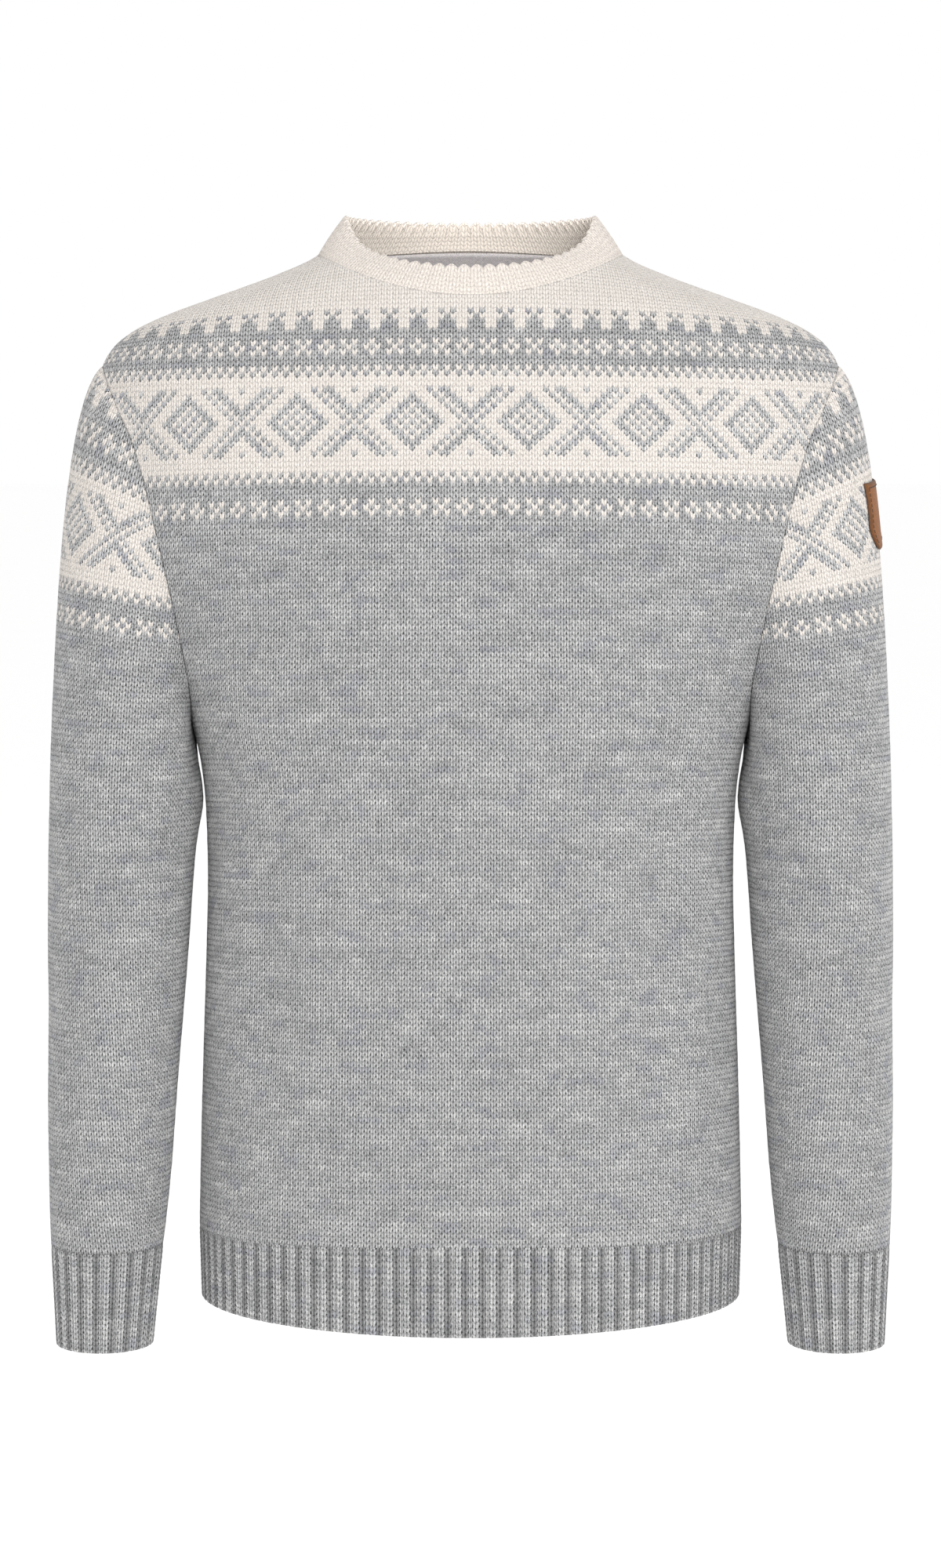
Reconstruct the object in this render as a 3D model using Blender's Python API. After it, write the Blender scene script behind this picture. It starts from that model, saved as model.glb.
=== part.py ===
"""A knitted yoke sweater, filled out as it is worn, with nobody in it.

Every sewn piece is a closed wall of cloth and an object of its own.  The wearer
faces -Y, the wearer's left is +X and +Z is up.  The origin is the middle of the
neck, level with the shoulders that carry the sweater.  Sizes below are in
millimetres, and the meshes are made in metres.
"""

import math
from collections import namedtuple

import bmesh
import bpy
import numpy as np

MM = 0.001

# Cloth and seams.
BODY_CLOTH = 2.6
RIB_BASE = 1.2
RIB_RELIEF = 1.4
COLLAR_CLOTH = 4.0
FACING_CLOTH = 1.0
BADGE_LEATHER = 1.6
SEAM_GAP = 0.3
MITRE_LIMIT = 1.8

# Body, neck and shoulders.
SECTION_POWER = 2.15
SHOULDER_TIP_HEIGHT = -60.0
UNDERARM_HEIGHT = -285.0
ARMHOLE_FRONT = 58.0
ARMHOLE_BACK = 54.0
ARMHOLE_ROUNDNESS = 0.85
NECK_SIDE_HEIGHT = 9.0
NECK_FRONT_HEIGHT = -18.0
NECK_BACK_HEIGHT = 15.0

# Hem rib.
HEM_HEIGHT = -653.0
HEM_DIP = 3.0
HEM_SEAM_HEIGHT = -608.0
HEM_SEAM_RISE = 8.0
HEM_RIBS = 44

# Sleeve and cuff.
SLEEVE_FREE_HEIGHT = -340.0
SLEEVE_FREE_DRIFT = 6.0
CUFF_SEAM_HEIGHT = -615.0
CUFF_END_HEIGHT = -678.0
CUFF_RIBS = 20

# Collar, with its top edge given by half width, reach and height.  Its front edge is a
# wide curve that rises steeply to the sides.
COLLAR_TOP_HALF_WIDTH = 80.0
COLLAR_TOP_FRONT = 67.0
COLLAR_TOP_BACK = 52.0
COLLAR_FRONT_HEIGHT = -1.2
COLLAR_FRONT_CURVE = 0.8
COLLAR_FRONT_CORNER = 0.3
COLLAR_SIDE_HEIGHT = 32.1
COLLAR_BACK_HEIGHT = 30.0
COLLAR_SWELL = 0.6
PICOT_TEETH = 64
PICOT_HEIGHT = 2.6
PICOT_THINNING = 0.6

# Back neck facing.
FACING_HEIGHT = 29.0
FACING_SPAN = 4.6
FACING_DROP = 1.5
FACING_TAPER = 0.9
FACING_CLEARANCE = 1.0

# Badge: a shield set on the outer side of the left sleeve, with its sides drawn in
# a little down to its shoulder and a rounded point below. It falls toward the front
# with the rows it is sewn to.
BADGE_WIDTH = 40.0
BADGE_HEIGHT = 43.0
BADGE_CENTRE_HEIGHT = -153.8
BADGE_TURN = 11.0
BADGE_FALL = 0.08
BADGE_CLEARANCE = 0.9
SHIELD_SHOULDER = 0.62
SHIELD_WAIST = 0.06
SHIELD_ROUNDNESS = 1.7
SHIELD_POINT = 0.06

# Mesh density.
HALF_COLUMNS = 12
NECK_COLUMNS = 6
BODY_ROWS = 7
ARMHOLE_ROWS = 10
YOKE_ROWS = 5
CAP_ROWS = 7
ARM_ROWS = 7
RIB_POINTS = 3
PICOT_POINTS = 3
SECTION_STEPS = 96
FOLD_FADE_ROWS = 3
FOLD_FADE_POWER = 6
FACING_ROWS = 3
FACING_COLUMNS = 5
BADGE_ROWS = 9
BADGE_COLUMNS = 8
BADGE_PROBE = 9.0
HALVINGS = 40

TorsoLevel = namedtuple("TorsoLevel", "height half_width front back")
TORSO_LEVELS = (
    TorsoLevel(20.0, 82.0, 44.0, 52.0),
    TorsoLevel(6.3, 100.0, 56.0, 65.0),
    TorsoLevel(-3.7, 122.5, 65.0, 73.0),
    TorsoLevel(-18.7, 164.0, 75.5, 82.0),
    TorsoLevel(-28.6, 191.0, 81.0, 87.0),
    TorsoLevel(-38.6, 212.0, 86.0, 92.0),
    TorsoLevel(-48.6, 224.5, 90.5, 96.0),
    TorsoLevel(-60.0, 231.5, 94.5, 100.0),
    TorsoLevel(-72.0, 234.5, 98.0, 103.5),
    TorsoLevel(-86.0, 234.8, 101.5, 106.5),
    TorsoLevel(-106.0, 231.5, 105.5, 109.5),
    TorsoLevel(-139.0, 226.0, 111.0, 112.0),
    TorsoLevel(-165.0, 220.0, 113.5, 112.5),
    TorsoLevel(-194.0, 211.0, 115.0, 111.0),
    TorsoLevel(-230.0, 197.5, 115.0, 108.5),
    TorsoLevel(-260.0, 185.0, 114.0, 106.0),
    TorsoLevel(-285.0, 177.0, 113.0, 104.5),
    TorsoLevel(-312.0, 171.0, 112.0, 103.0),
    TorsoLevel(-340.0, 168.2, 111.5, 102.0),
    TorsoLevel(-380.0, 167.3, 111.0, 101.5),
    TorsoLevel(-430.0, 168.5, 111.5, 102.0),
    TorsoLevel(-500.0, 171.0, 113.5, 105.0),
    TorsoLevel(-565.0, 173.0, 116.0, 109.0),
    TorsoLevel(-625.0, 174.2, 118.0, 112.0),
    TorsoLevel(-660.0, 172.5, 119.0, 113.0),
)

ArmLevel = namedtuple("ArmLevel", "height centre forward half_width half_depth")
ARM_LEVELS = (
    ArmLevel(-340.0, 218.2, -10.0, 47.8, 61.0),
    ArmLevel(-365.0, 220.8, -11.0, 46.1, 58.5),
    ArmLevel(-426.0, 223.8, -14.0, 44.4, 54.5),
    ArmLevel(-472.0, 225.8, -17.0, 42.6, 51.0),
    ArmLevel(-502.0, 227.0, -20.0, 41.3, 48.5),
    ArmLevel(-533.0, 228.2, -23.0, 40.2, 46.0),
    ArmLevel(-563.0, 229.0, -26.0, 38.9, 43.5),
    ArmLevel(-594.0, 230.2, -29.0, 37.1, 40.5),
    ArmLevel(-625.0, 231.3, -33.0, 34.5, 37.0),
    ArmLevel(-656.0, 231.9, -36.0, 31.9, 33.5),
    ArmLevel(-687.0, 232.8, -38.0, 30.0, 31.5),
)

# A sleeve leaves its armhole along these leads, given at the shoulder tip,
# the front and back of the armhole, and the underarm.
CapLead = namedtuple("CapLead", "turn outward forward down")
CAP_LEADS = (
    CapLead(0.0, 81.0, 0.0, 60.0),
    CapLead(45.0, 66.0, 12.0, 85.0),
    CapLead(90.0, 42.0, 16.0, 105.0),
    CapLead(135.0, 16.0, 6.0, 85.0),
    CapLead(180.0, -3.0, 0.0, 55.0),
)

# Soft folds: where each lies as a share of the panel's half width, its middle,
# its spread across and along, and how deep it dips (ridges are negative).
Fold = namedtuple("Fold", "share height spread reach depth lean")
FRONT_FOLDS = (
    Fold(-0.58, -455.0, 17.0, 95.0, 3.2, -0.05),
    Fold(-0.27, -430.0, 16.0, 85.0, 2.6, 0.04),
    Fold(0.13, -500.0, 18.0, 70.0, 1.8, 0.02),
    Fold(0.55, -390.0, 18.0, 130.0, 3.4, 0.06),
    Fold(0.78, -470.0, 16.0, 80.0, 2.2, -0.04),
    Fold(-0.80, -330.0, 15.0, 60.0, 2.6, 0.35),
    Fold(0.80, -320.0, 15.0, 60.0, 2.4, -0.35),
)
BACK_FOLDS = (
    Fold(-0.50, -420.0, 18.0, 110.0, 3.2, 0.05),
    Fold(-0.12, -500.0, 17.0, 75.0, 2.2, -0.03),
    Fold(0.33, -440.0, 17.0, 95.0, 2.8, 0.04),
    Fold(0.68, -380.0, 17.0, 105.0, 3.0, -0.06),
    Fold(-0.80, -325.0, 15.0, 60.0, 2.4, 0.35),
    Fold(0.80, -330.0, 15.0, 60.0, 2.6, -0.35),
)

Finish = namedtuple("Finish", "colour roughness")
GREY_WOOL = Finish((0.16, 0.165, 0.17), 0.92)
CREAM_WOOL = Finish((0.72, 0.69, 0.62), 0.92)
RIB_WOOL = Finish((0.13, 0.135, 0.14), 0.93)
FACING_FABRIC = Finish((0.45, 0.43, 0.46), 0.85)
BADGE_HIDE = Finish((0.20, 0.09, 0.04), 0.55)


class SmoothTable:
    """Columns of a table read at any height, along smooth curves that never overshoot."""

    def __init__(self, rows):
        ordered = sorted(rows, key=lambda row: row.height)
        self.heights = np.array([row.height for row in ordered])
        self.columns = {
            name: np.array([getattr(row, name) for row in ordered]) for name in ordered[0]._fields
        }
        self.slopes = {name: self.gentle_slopes(values) for name, values in self.columns.items()}

    def gentle_slopes(self, values):
        """Slope at each row: the harmonic mean of its neighbours, or flat at a peak."""
        steps = np.diff(values) / np.diff(self.heights)
        slopes = np.empty(len(values))
        slopes[0], slopes[-1] = steps[0], steps[-1]
        for row in range(1, len(steps)):
            before, after = steps[row - 1], steps[row]
            same_way = before * after > 0
            slopes[row] = 2 * before * after / (before + after) if same_way else 0.0
        return slopes

    def read(self, name, height):
        """Value of one column at a height, held at the end rows beyond them."""
        height = min(max(height, self.heights[0]), self.heights[-1])
        row = min(max(int(np.searchsorted(self.heights, height)) - 1, 0), len(self.heights) - 2)
        low, high = self.heights[row], self.heights[row + 1]
        reach = high - low
        part = (height - low) / reach
        values, slopes = self.columns[name], self.slopes[name]
        return hermite(values[row], slopes[row] * reach, values[row + 1], slopes[row + 1] * reach, part)


def hermite(start, start_slope, end, end_slope, part):
    """Point on the cubic that leaves start and reaches end with the given slopes."""
    square, cube = part * part, part * part * part
    return (
        (2 * cube - 3 * square + 1) * start
        + (cube - 2 * square + part) * start_slope
        + (3 * square - 2 * cube) * end
        + (cube - square) * end_slope
    )


TORSO = SmoothTable(TORSO_LEVELS)
ARM = SmoothTable(ARM_LEVELS)


def unit(vector):
    """The vector at length one."""
    return vector / np.linalg.norm(vector)


def mix(start, end, part):
    """Value a share of the way from start to end."""
    return start + (end - start) * part


# ---------------------------------------------------------------- torso form


def torso_depth(height, side):
    """Reach of the torso's section to the front (side -1) or to the back (side +1)."""
    return TORSO.read("front" if side < 0 else "back", height)


def quarter_section(height, side):
    """A quarter of the section, from the centre line to the side, with its running length."""
    turn = np.linspace(0.0, math.pi / 2, SECTION_STEPS)
    power = 2 / SECTION_POWER
    across = TORSO.read("half_width", height) * np.sin(turn) ** power
    deep = torso_depth(height, side) * np.clip(np.cos(turn), 0.0, 1.0) ** power
    run = np.concatenate(([0.0], np.cumsum(np.hypot(np.diff(across), np.diff(deep)))))
    return across, side * deep, run


def torso_point(height, side, arc):
    """Point of the torso at a height and a signed distance round from the centre line."""
    across, deep, run = quarter_section(height, side)
    reach = min(abs(arc), run[-1])
    x = math.copysign(np.interp(reach, run, across), arc)
    return np.array([x, np.interp(reach, run, deep), height])


def torso_normal(point, side):
    """Outward direction of the torso's surface at a point on it."""
    x, y, height = point

    def fill(level):
        width = abs(x) / TORSO.read("half_width", level)
        depth = abs(y) / torso_depth(level, side)
        return width**SECTION_POWER + depth**SECTION_POWER

    half_width = TORSO.read("half_width", height)
    depth = torso_depth(height, side)
    lean = SECTION_POWER - 1
    slope = np.array(
        [
            math.copysign((abs(x) / half_width) ** lean, x) * SECTION_POWER / half_width,
            math.copysign((abs(y) / depth) ** lean, side) * SECTION_POWER / depth,
            (fill(height + 1.0) - fill(height - 1.0)) / 2.0,
        ]
    )
    return unit(slope)


def arc_at(height, side, across):
    """Distance round from the centre line to where the section is this far out."""
    section, _, run = quarter_section(height, side)
    return float(np.interp(across, section, run))


def armhole_depth(side):
    """How far the armhole reaches to the front or to the back."""
    return ARMHOLE_FRONT if side < 0 else ARMHOLE_BACK


def armhole_point(row, side):
    """Point of the armhole seam on the +X side, row 0 at the shoulder tip."""
    turn = math.pi * row / ARMHOLE_ROWS
    middle = (SHOULDER_TIP_HEIGHT + UNDERARM_HEIGHT) / 2
    half = (SHOULDER_TIP_HEIGHT - UNDERARM_HEIGHT) / 2
    height = middle + half * math.cos(turn)
    reach = armhole_depth(side) * math.sin(turn) ** ARMHOLE_ROUNDNESS
    share = 1 - (reach / torso_depth(height, side)) ** SECTION_POWER
    across = TORSO.read("half_width", height) * share ** (1 / SECTION_POWER)
    return np.array([across, side * reach, height])


def neckline_point(part, side):
    """Point of the neck seam on the +X side, from the centre (0) to the shoulder seam (1)."""
    turn = part * math.pi / 2
    centre = NECK_FRONT_HEIGHT if side < 0 else NECK_BACK_HEIGHT
    height = mix(centre, NECK_SIDE_HEIGHT, math.sin(turn) ** 2)
    half_width = TORSO.read("half_width", height)
    across = min(neck_side_reach() * math.sin(turn), half_width)
    share = max(1 - (across / half_width) ** SECTION_POWER, 0.0)
    return np.array([across, side * torso_depth(height, side) * share ** (1 / SECTION_POWER), height])


def neck_side_reach():
    """How far out the neck seam meets the shoulder seam."""
    return TORSO.read("half_width", NECK_SIDE_HEIGHT)


def shoulder_point(part):
    """Point of the shoulder seam on the +X side, from the neck (0) to the tip (1)."""
    tip = TORSO.read("half_width", SHOULDER_TIP_HEIGHT)
    across = mix(neck_side_reach(), tip, math.sin(part * math.pi / 2))
    low, high = SHOULDER_TIP_HEIGHT, NECK_SIDE_HEIGHT
    for _ in range(HALVINGS):
        middle = (low + high) / 2
        if TORSO.read("half_width", middle) > across:
            low = middle
        else:
            high = middle
    return np.array([across, 0.0, middle])


def hem_seam_height(share):
    """Height of the seam between panel and hem rib, by the share of the way to the side."""
    return HEM_SEAM_HEIGHT + HEM_SEAM_RISE * math.cos(share * math.pi / 2) ** 2


def hem_height(share):
    """Height of the hem's lower edge, by the share of the way to the side."""
    return HEM_HEIGHT - HEM_DIP * math.cos(share * math.pi / 2) ** 2


def fold_depth(folds, half_arc, arc, height):
    """How far the folds dip into the cloth at a distance round from the centre line."""
    depth = 0.0
    for fold in folds:
        middle = fold.share * half_arc + fold.lean * (height - fold.height)
        across = (arc - middle) / fold.spread
        along = (height - fold.height) / fold.reach
        depth += fold.depth * math.exp(-across * across) * math.exp(-along * along)
    return depth


# ---------------------------------------------------------------- seams


def seam_frame(along, sleeve_lead, panel_normal):
    """Outward direction shared at a seam point, and the way across the seam."""
    sleeve_normal = unit(np.cross(sleeve_lead, along))
    outward = unit(panel_normal + sleeve_normal)
    across = unit(np.cross(along, outward))
    stretch = min(1 / max(float(outward @ panel_normal), 1e-3), MITRE_LIMIT)
    return outward * stretch, across


def armhole_loop():
    """Points of the +X armhole: tip, down the front, underarm, up the back."""
    front = [armhole_point(row, -1) for row in range(ARMHOLE_ROWS + 1)]
    back = [armhole_point(row, 1) for row in range(ARMHOLE_ROWS - 1, 0, -1)]
    return front + back


def cap_lead(turn_degrees, side):
    """Direction and pace at which the sleeve leaves its armhole."""
    turns = [lead.turn for lead in CAP_LEADS]
    outward, forward, down = (
        np.interp(turn_degrees, turns, [getattr(lead, name) for lead in CAP_LEADS])
        for name in ("outward", "forward", "down")
    )
    return np.array([outward, side * forward, -down])


def armhole_seam():
    """For each loop point: the point, its shared outward offset and the way to the sleeve."""
    loop = armhole_loop()
    count = len(loop)
    seam = []
    for index, point in enumerate(loop):
        side = -1 if index <= ARMHOLE_ROWS else 1
        turn = 360.0 * index / count
        lead = cap_lead(min(turn, 360.0 - turn), side)
        along = unit(loop[index - 1] - loop[(index + 1) % count])
        outward, across = seam_frame(along, lead, torso_normal(point, side))
        seam.append((point, outward, across, lead))
    return seam


# ---------------------------------------------------------------- cloth walls


def wall_mesh(name, outer, inner, finish, closed=False):
    """Closed wall between two grids of points; a closed grid runs round a tube."""
    rows, columns = len(outer), len(outer[0])
    mesh = bmesh.new()
    outer_points = [[mesh.verts.new(point * MM) for point in row] for row in outer]
    inner_points = [[mesh.verts.new(point * MM) for point in row] for row in inner]
    spans = columns if closed else columns - 1
    for row in range(rows - 1):
        for column in range(spans):
            beside = (column + 1) % columns
            for grid, order in ((outer_points, 1), (inner_points, -1)):
                corners = (
                    grid[row][column],
                    grid[row][beside],
                    grid[row + 1][beside],
                    grid[row + 1][column],
                )
                mesh.faces.new(corners[::order])
    for row, order in ((0, -1), (rows - 1, 1)):
        for column in range(spans):
            beside = (column + 1) % columns
            corners = (
                outer_points[row][column],
                outer_points[row][beside],
                inner_points[row][beside],
                inner_points[row][column],
            )
            mesh.faces.new(corners[::order])
    if not closed:
        for column, order in ((0, 1), (columns - 1, -1)):
            for row in range(rows - 1):
                corners = (
                    outer_points[row][column],
                    outer_points[row + 1][column],
                    inner_points[row + 1][column],
                    inner_points[row][column],
                )
                mesh.faces.new(corners[::order])
    return finished_object(name, mesh, finish)


def finished_object(name, mesh, finish):
    """Object with its material, its doubled points merged and its faces turned outwards."""
    bmesh.ops.remove_doubles(mesh, verts=mesh.verts[:], dist=0.00001)
    bmesh.ops.triangulate(mesh, faces=mesh.faces[:])
    bmesh.ops.recalc_face_normals(mesh, faces=mesh.faces[:])
    data = bpy.data.meshes.new(name)
    mesh.to_mesh(data)
    mesh.free()
    data.shade_smooth()
    data.set_sharp_from_angle(angle=math.radians(40))
    piece = bpy.data.objects.new(name, data)
    bpy.context.scene.collection.objects.link(piece)
    data.materials.append(material(name, finish))
    return piece


def material(name, finish):
    """Principled material of a piece."""
    made = bpy.data.materials.new(name)
    made.use_nodes = True
    shader = made.node_tree.nodes["Principled BSDF"]
    shader.inputs["Base Color"].default_value = (*finish.colour, 1.0)
    shader.inputs["Roughness"].default_value = finish.roughness
    shader.inputs["Metallic"].default_value = 0.0
    return made


def mirrored(point, flip):
    """The point, carried to the -X side where flip is -1."""
    return point * np.array([flip, 1.0, 1.0])


# ---------------------------------------------------------------- body panels


def panel_place(column, row, side):
    """Point of a panel's grid with the arc it was read at; row 0 is the hem seam."""
    share = column / HALF_COLUMNS
    if row <= BODY_ROWS:
        height = mix(hem_seam_height(share), UNDERARM_HEIGHT, row / BODY_ROWS)
        arc = share * quarter_section(height, side)[2][-1]
        return torso_point(height, side, arc), arc
    if row <= BODY_ROWS + ARMHOLE_ROWS:
        edge = armhole_point(BODY_ROWS + ARMHOLE_ROWS - row, side)
        arc = share * arc_at(edge[2], side, edge[0])
        return torso_point(edge[2], side, arc), arc
    tip_arc = share * quarter_section(SHOULDER_TIP_HEIGHT, side)[2][-1]
    top = panel_top_point(abs(column), side)
    top_arc = math.copysign(arc_at(top[2], side, top[0]), column)
    left = 1 - (row - BODY_ROWS - ARMHOLE_ROWS) / YOKE_ROWS
    climb = 1 - left * left
    height = mix(SHOULDER_TIP_HEIGHT, top[2], climb)
    arc = mix(tip_arc, top_arc, climb)
    return torso_point(height, side, arc), arc


def panel_top_point(column, side):
    """Where a column of the panel ends: on the neck seam or on the shoulder seam."""
    if column <= NECK_COLUMNS:
        return neckline_point(column / NECK_COLUMNS, side)
    return shoulder_point((column - NECK_COLUMNS) / (HALF_COLUMNS - NECK_COLUMNS))


def panel_grids(side):
    """Outer and inner points of the front (side -1) or back (side +1) panel."""
    folds = FRONT_FOLDS if side < 0 else BACK_FOLDS
    seam = armhole_seam()
    rows = BODY_ROWS + ARMHOLE_ROWS + YOKE_ROWS
    outer, inner = [], []
    for row in range(rows + 1):
        outer_row, inner_row = [], []
        for column in range(-HALF_COLUMNS, HALF_COLUMNS + 1):
            flip = -1 if column < 0 else 1
            point, arc = panel_place(column, row, side)
            normal = torso_normal(point, side)
            fade = 1.0 - (abs(column) / HALF_COLUMNS) ** FOLD_FADE_POWER
            fade *= min(row / FOLD_FADE_ROWS, 1.0)
            half_arc = quarter_section(point[2], side)[2][-1]
            dip = fold_depth(folds, half_arc, arc, point[2]) * fade
            point = point - normal * dip
            offset = normal
            shift = np.zeros(3)
            armhole_row = BODY_ROWS + ARMHOLE_ROWS - row
            if abs(column) == HALF_COLUMNS and row >= BODY_ROWS:
                index = max(armhole_row, 0)
                if side > 0 and 0 < index < ARMHOLE_ROWS:
                    index = 2 * ARMHOLE_ROWS - index
                _, offset, across, _ = seam[index]
                offset = mirrored(offset, flip)
                shift = -mirrored(across, flip) * SEAM_GAP / 2
            on_side_seam = abs(column) == HALF_COLUMNS and (row <= BODY_ROWS or armhole_row <= 0)
            on_shoulder_seam = row == rows and abs(column) >= NECK_COLUMNS
            if on_side_seam or on_shoulder_seam:
                shift = shift + np.array([0.0, side * SEAM_GAP / 2, 0.0])
            if row == 0:
                shift = shift + np.array([0.0, 0.0, SEAM_GAP / 2])
            outer_row.append(point + shift)
            inner_row.append(point + shift - offset * BODY_CLOTH)
        outer.append(outer_row)
        inner.append(inner_row)
    return outer, inner


def build_panel(name, side):
    """One panel of the body."""
    outer, inner = panel_grids(side)
    return wall_mesh(name, outer, inner, CREAM_WOOL)


# ---------------------------------------------------------------- ribs


def rib_relief(position):
    """Height of a rib above its grooves at a position counted in points."""
    return 0.0 if position % RIB_POINTS == 0 else RIB_RELIEF


def ribbed_rows(seam, end, normals):
    """Ribbed wall between two edges: points along each, with ribs on the outside only."""
    outer = [[], []]
    inner = [[], []]
    for index, normal in enumerate(normals):
        relief = rib_relief(index)
        for row, edge in enumerate((end, seam)):
            outer[row].append(edge[index] + normal * (relief - RIB_RELIEF))
            inner[row].append(edge[index] - normal * (RIB_RELIEF + RIB_BASE))
    return outer, inner


def build_hem_rib(name, side):
    """Ribbed band under a panel, from side seam to side seam."""
    count = HEM_RIBS * RIB_POINTS
    seam, end, normals = [], [], []
    columns = [panel_place(column, 0, side)[0] for column in range(-HALF_COLUMNS, HALF_COLUMNS + 1)]
    for index in range(count + 1):
        share = 2 * index / count - 1
        place = (share + 1) * HALF_COLUMNS
        column = min(int(place), 2 * HALF_COLUMNS - 1)
        top = mix(columns[column], columns[column + 1], place - column)
        low_height = hem_height(share)
        low = torso_point(low_height, side, share * quarter_section(low_height, side)[2][-1])
        shift = np.zeros(3)
        if index in (0, count):
            shift = np.array([0.0, side * SEAM_GAP / 2, 0.0])
        seam.append(top + shift - np.array([0.0, 0.0, SEAM_GAP / 2]))
        end.append(low + shift)
        normals.append(torso_normal(low, side) * np.array([1.0, 1.0, 0.0]))
    outer, inner = ribbed_rows(seam, end, normals)
    return wall_mesh(name, outer, inner, RIB_WOOL)


# ---------------------------------------------------------------- sleeves


def arm_point(height, turn):
    """Point of the sleeve below the armhole; turn 0 is its outer side, 90 degrees its front."""
    return np.array(
        [
            ARM.read("centre", height) + ARM.read("half_width", height) * math.cos(turn),
            ARM.read("forward", height) - ARM.read("half_depth", height) * math.sin(turn),
            height,
        ]
    )


def cap_fall(start, end):
    """Direction and pace at which the cap reaches the hanging arm."""
    return np.array([SLEEVE_FREE_DRIFT, 0.0, end[2] - start[2]])


def sleeve_rings():
    """Rings of points down the +X sleeve, from the armhole seam to the cuff seam."""
    seam = armhole_seam()
    count = len(seam)
    rings = []
    for row in range(CAP_ROWS + ARM_ROWS + 1):
        ring = []
        for index, (start, _, _, lead) in enumerate(seam):
            turn = 2 * math.pi * index / count
            if row <= CAP_ROWS:
                end = arm_point(SLEEVE_FREE_HEIGHT, turn)
                ring.append(hermite(start, lead, end, cap_fall(start, end), row / CAP_ROWS))
            else:
                part = (row - CAP_ROWS) / ARM_ROWS
                ring.append(arm_point(mix(SLEEVE_FREE_HEIGHT, CUFF_SEAM_HEIGHT, part), turn))
        rings.append(ring)
    return rings


def ring_normals(rings):
    """Outward direction at each point of the rings, from their neighbours."""
    rows, count = len(rings), len(rings[0])
    normals = []
    for row in range(rows):
        above, below = rings[max(row - 1, 0)], rings[min(row + 1, rows - 1)]
        ring = []
        for index in range(count):
            along = rings[row][(index + 1) % count] - rings[row][index - 1]
            down = below[index] - above[index]
            ring.append(unit(np.cross(along, down)))
        normals.append(ring)
    return normals


def build_sleeve(name, flip):
    """One sleeve, from the armhole seam to the cuff seam."""
    seam = armhole_seam()
    rings = sleeve_rings()
    normals = ring_normals(rings)
    outer, inner = [], []
    for row, ring in enumerate(rings):
        outer_ring, inner_ring = [], []
        for index, point in enumerate(ring):
            offset = normals[row][index]
            shift = np.zeros(3)
            if row == 0:
                _, offset, across, _ = seam[index]
                shift = across * SEAM_GAP / 2
            if row == len(rings) - 1:
                shift = np.array([0.0, 0.0, SEAM_GAP / 2])
            outer_ring.append(mirrored(point + shift, flip))
            inner_ring.append(mirrored(point + shift - offset * BODY_CLOTH, flip))
        outer.append(outer_ring)
        inner.append(inner_ring)
    return wall_mesh(name, outer, inner, GREY_WOOL, closed=True)


def build_cuff(name, flip):
    """Ribbed cuff at the end of a sleeve."""
    count = CUFF_RIBS * RIB_POINTS
    ring = sleeve_rings()[-1]
    seam, end, normals = [], [], []
    for index in range(count):
        place = index * len(ring) / count
        corner = int(place)
        top = mix(ring[corner], ring[(corner + 1) % len(ring)], place - corner)
        turn = 2 * math.pi * index / count
        low = arm_point(CUFF_END_HEIGHT, turn)
        centre = np.array([ARM.read("centre", low[2]), ARM.read("forward", low[2]), low[2]])
        seam.append(mirrored(top - np.array([0.0, 0.0, SEAM_GAP / 2]), flip))
        end.append(mirrored(low, flip))
        normals.append(mirrored(unit(low - centre), flip))
    outer, inner = ribbed_rows(seam, end, normals)
    return wall_mesh(name, outer, inner, RIB_WOOL, closed=True)


# ---------------------------------------------------------------- neck


def neck_loop():
    """Neck seam from the front centre round by the wearer's left to the back and on."""
    quarter = [neckline_point(step / NECK_COLUMNS, -1) for step in range(NECK_COLUMNS)]
    behind = [neckline_point(1 - step / NECK_COLUMNS, 1) for step in range(NECK_COLUMNS)]
    half = quarter + behind + [neckline_point(0.0, 1)]
    other = [mirrored(point, -1) for point in half[-2:0:-1]]
    return half + other


def collar_top(turn):
    """Point of the collar's top edge; turn 0 is the front centre, 90 degrees the left."""
    forward = math.cos(turn)
    if forward > 0:
        reach = COLLAR_TOP_FRONT
        corner = 1 - math.exp(-((forward / COLLAR_FRONT_CORNER) ** 2))
        height = mix(COLLAR_SIDE_HEIGHT, COLLAR_FRONT_HEIGHT, forward**COLLAR_FRONT_CURVE * corner)
    else:
        reach = COLLAR_TOP_BACK
        height = mix(COLLAR_SIDE_HEIGHT, COLLAR_BACK_HEIGHT, forward * forward)
    return np.array([COLLAR_TOP_HALF_WIDTH * math.sin(turn), -reach * forward, height])


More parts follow.
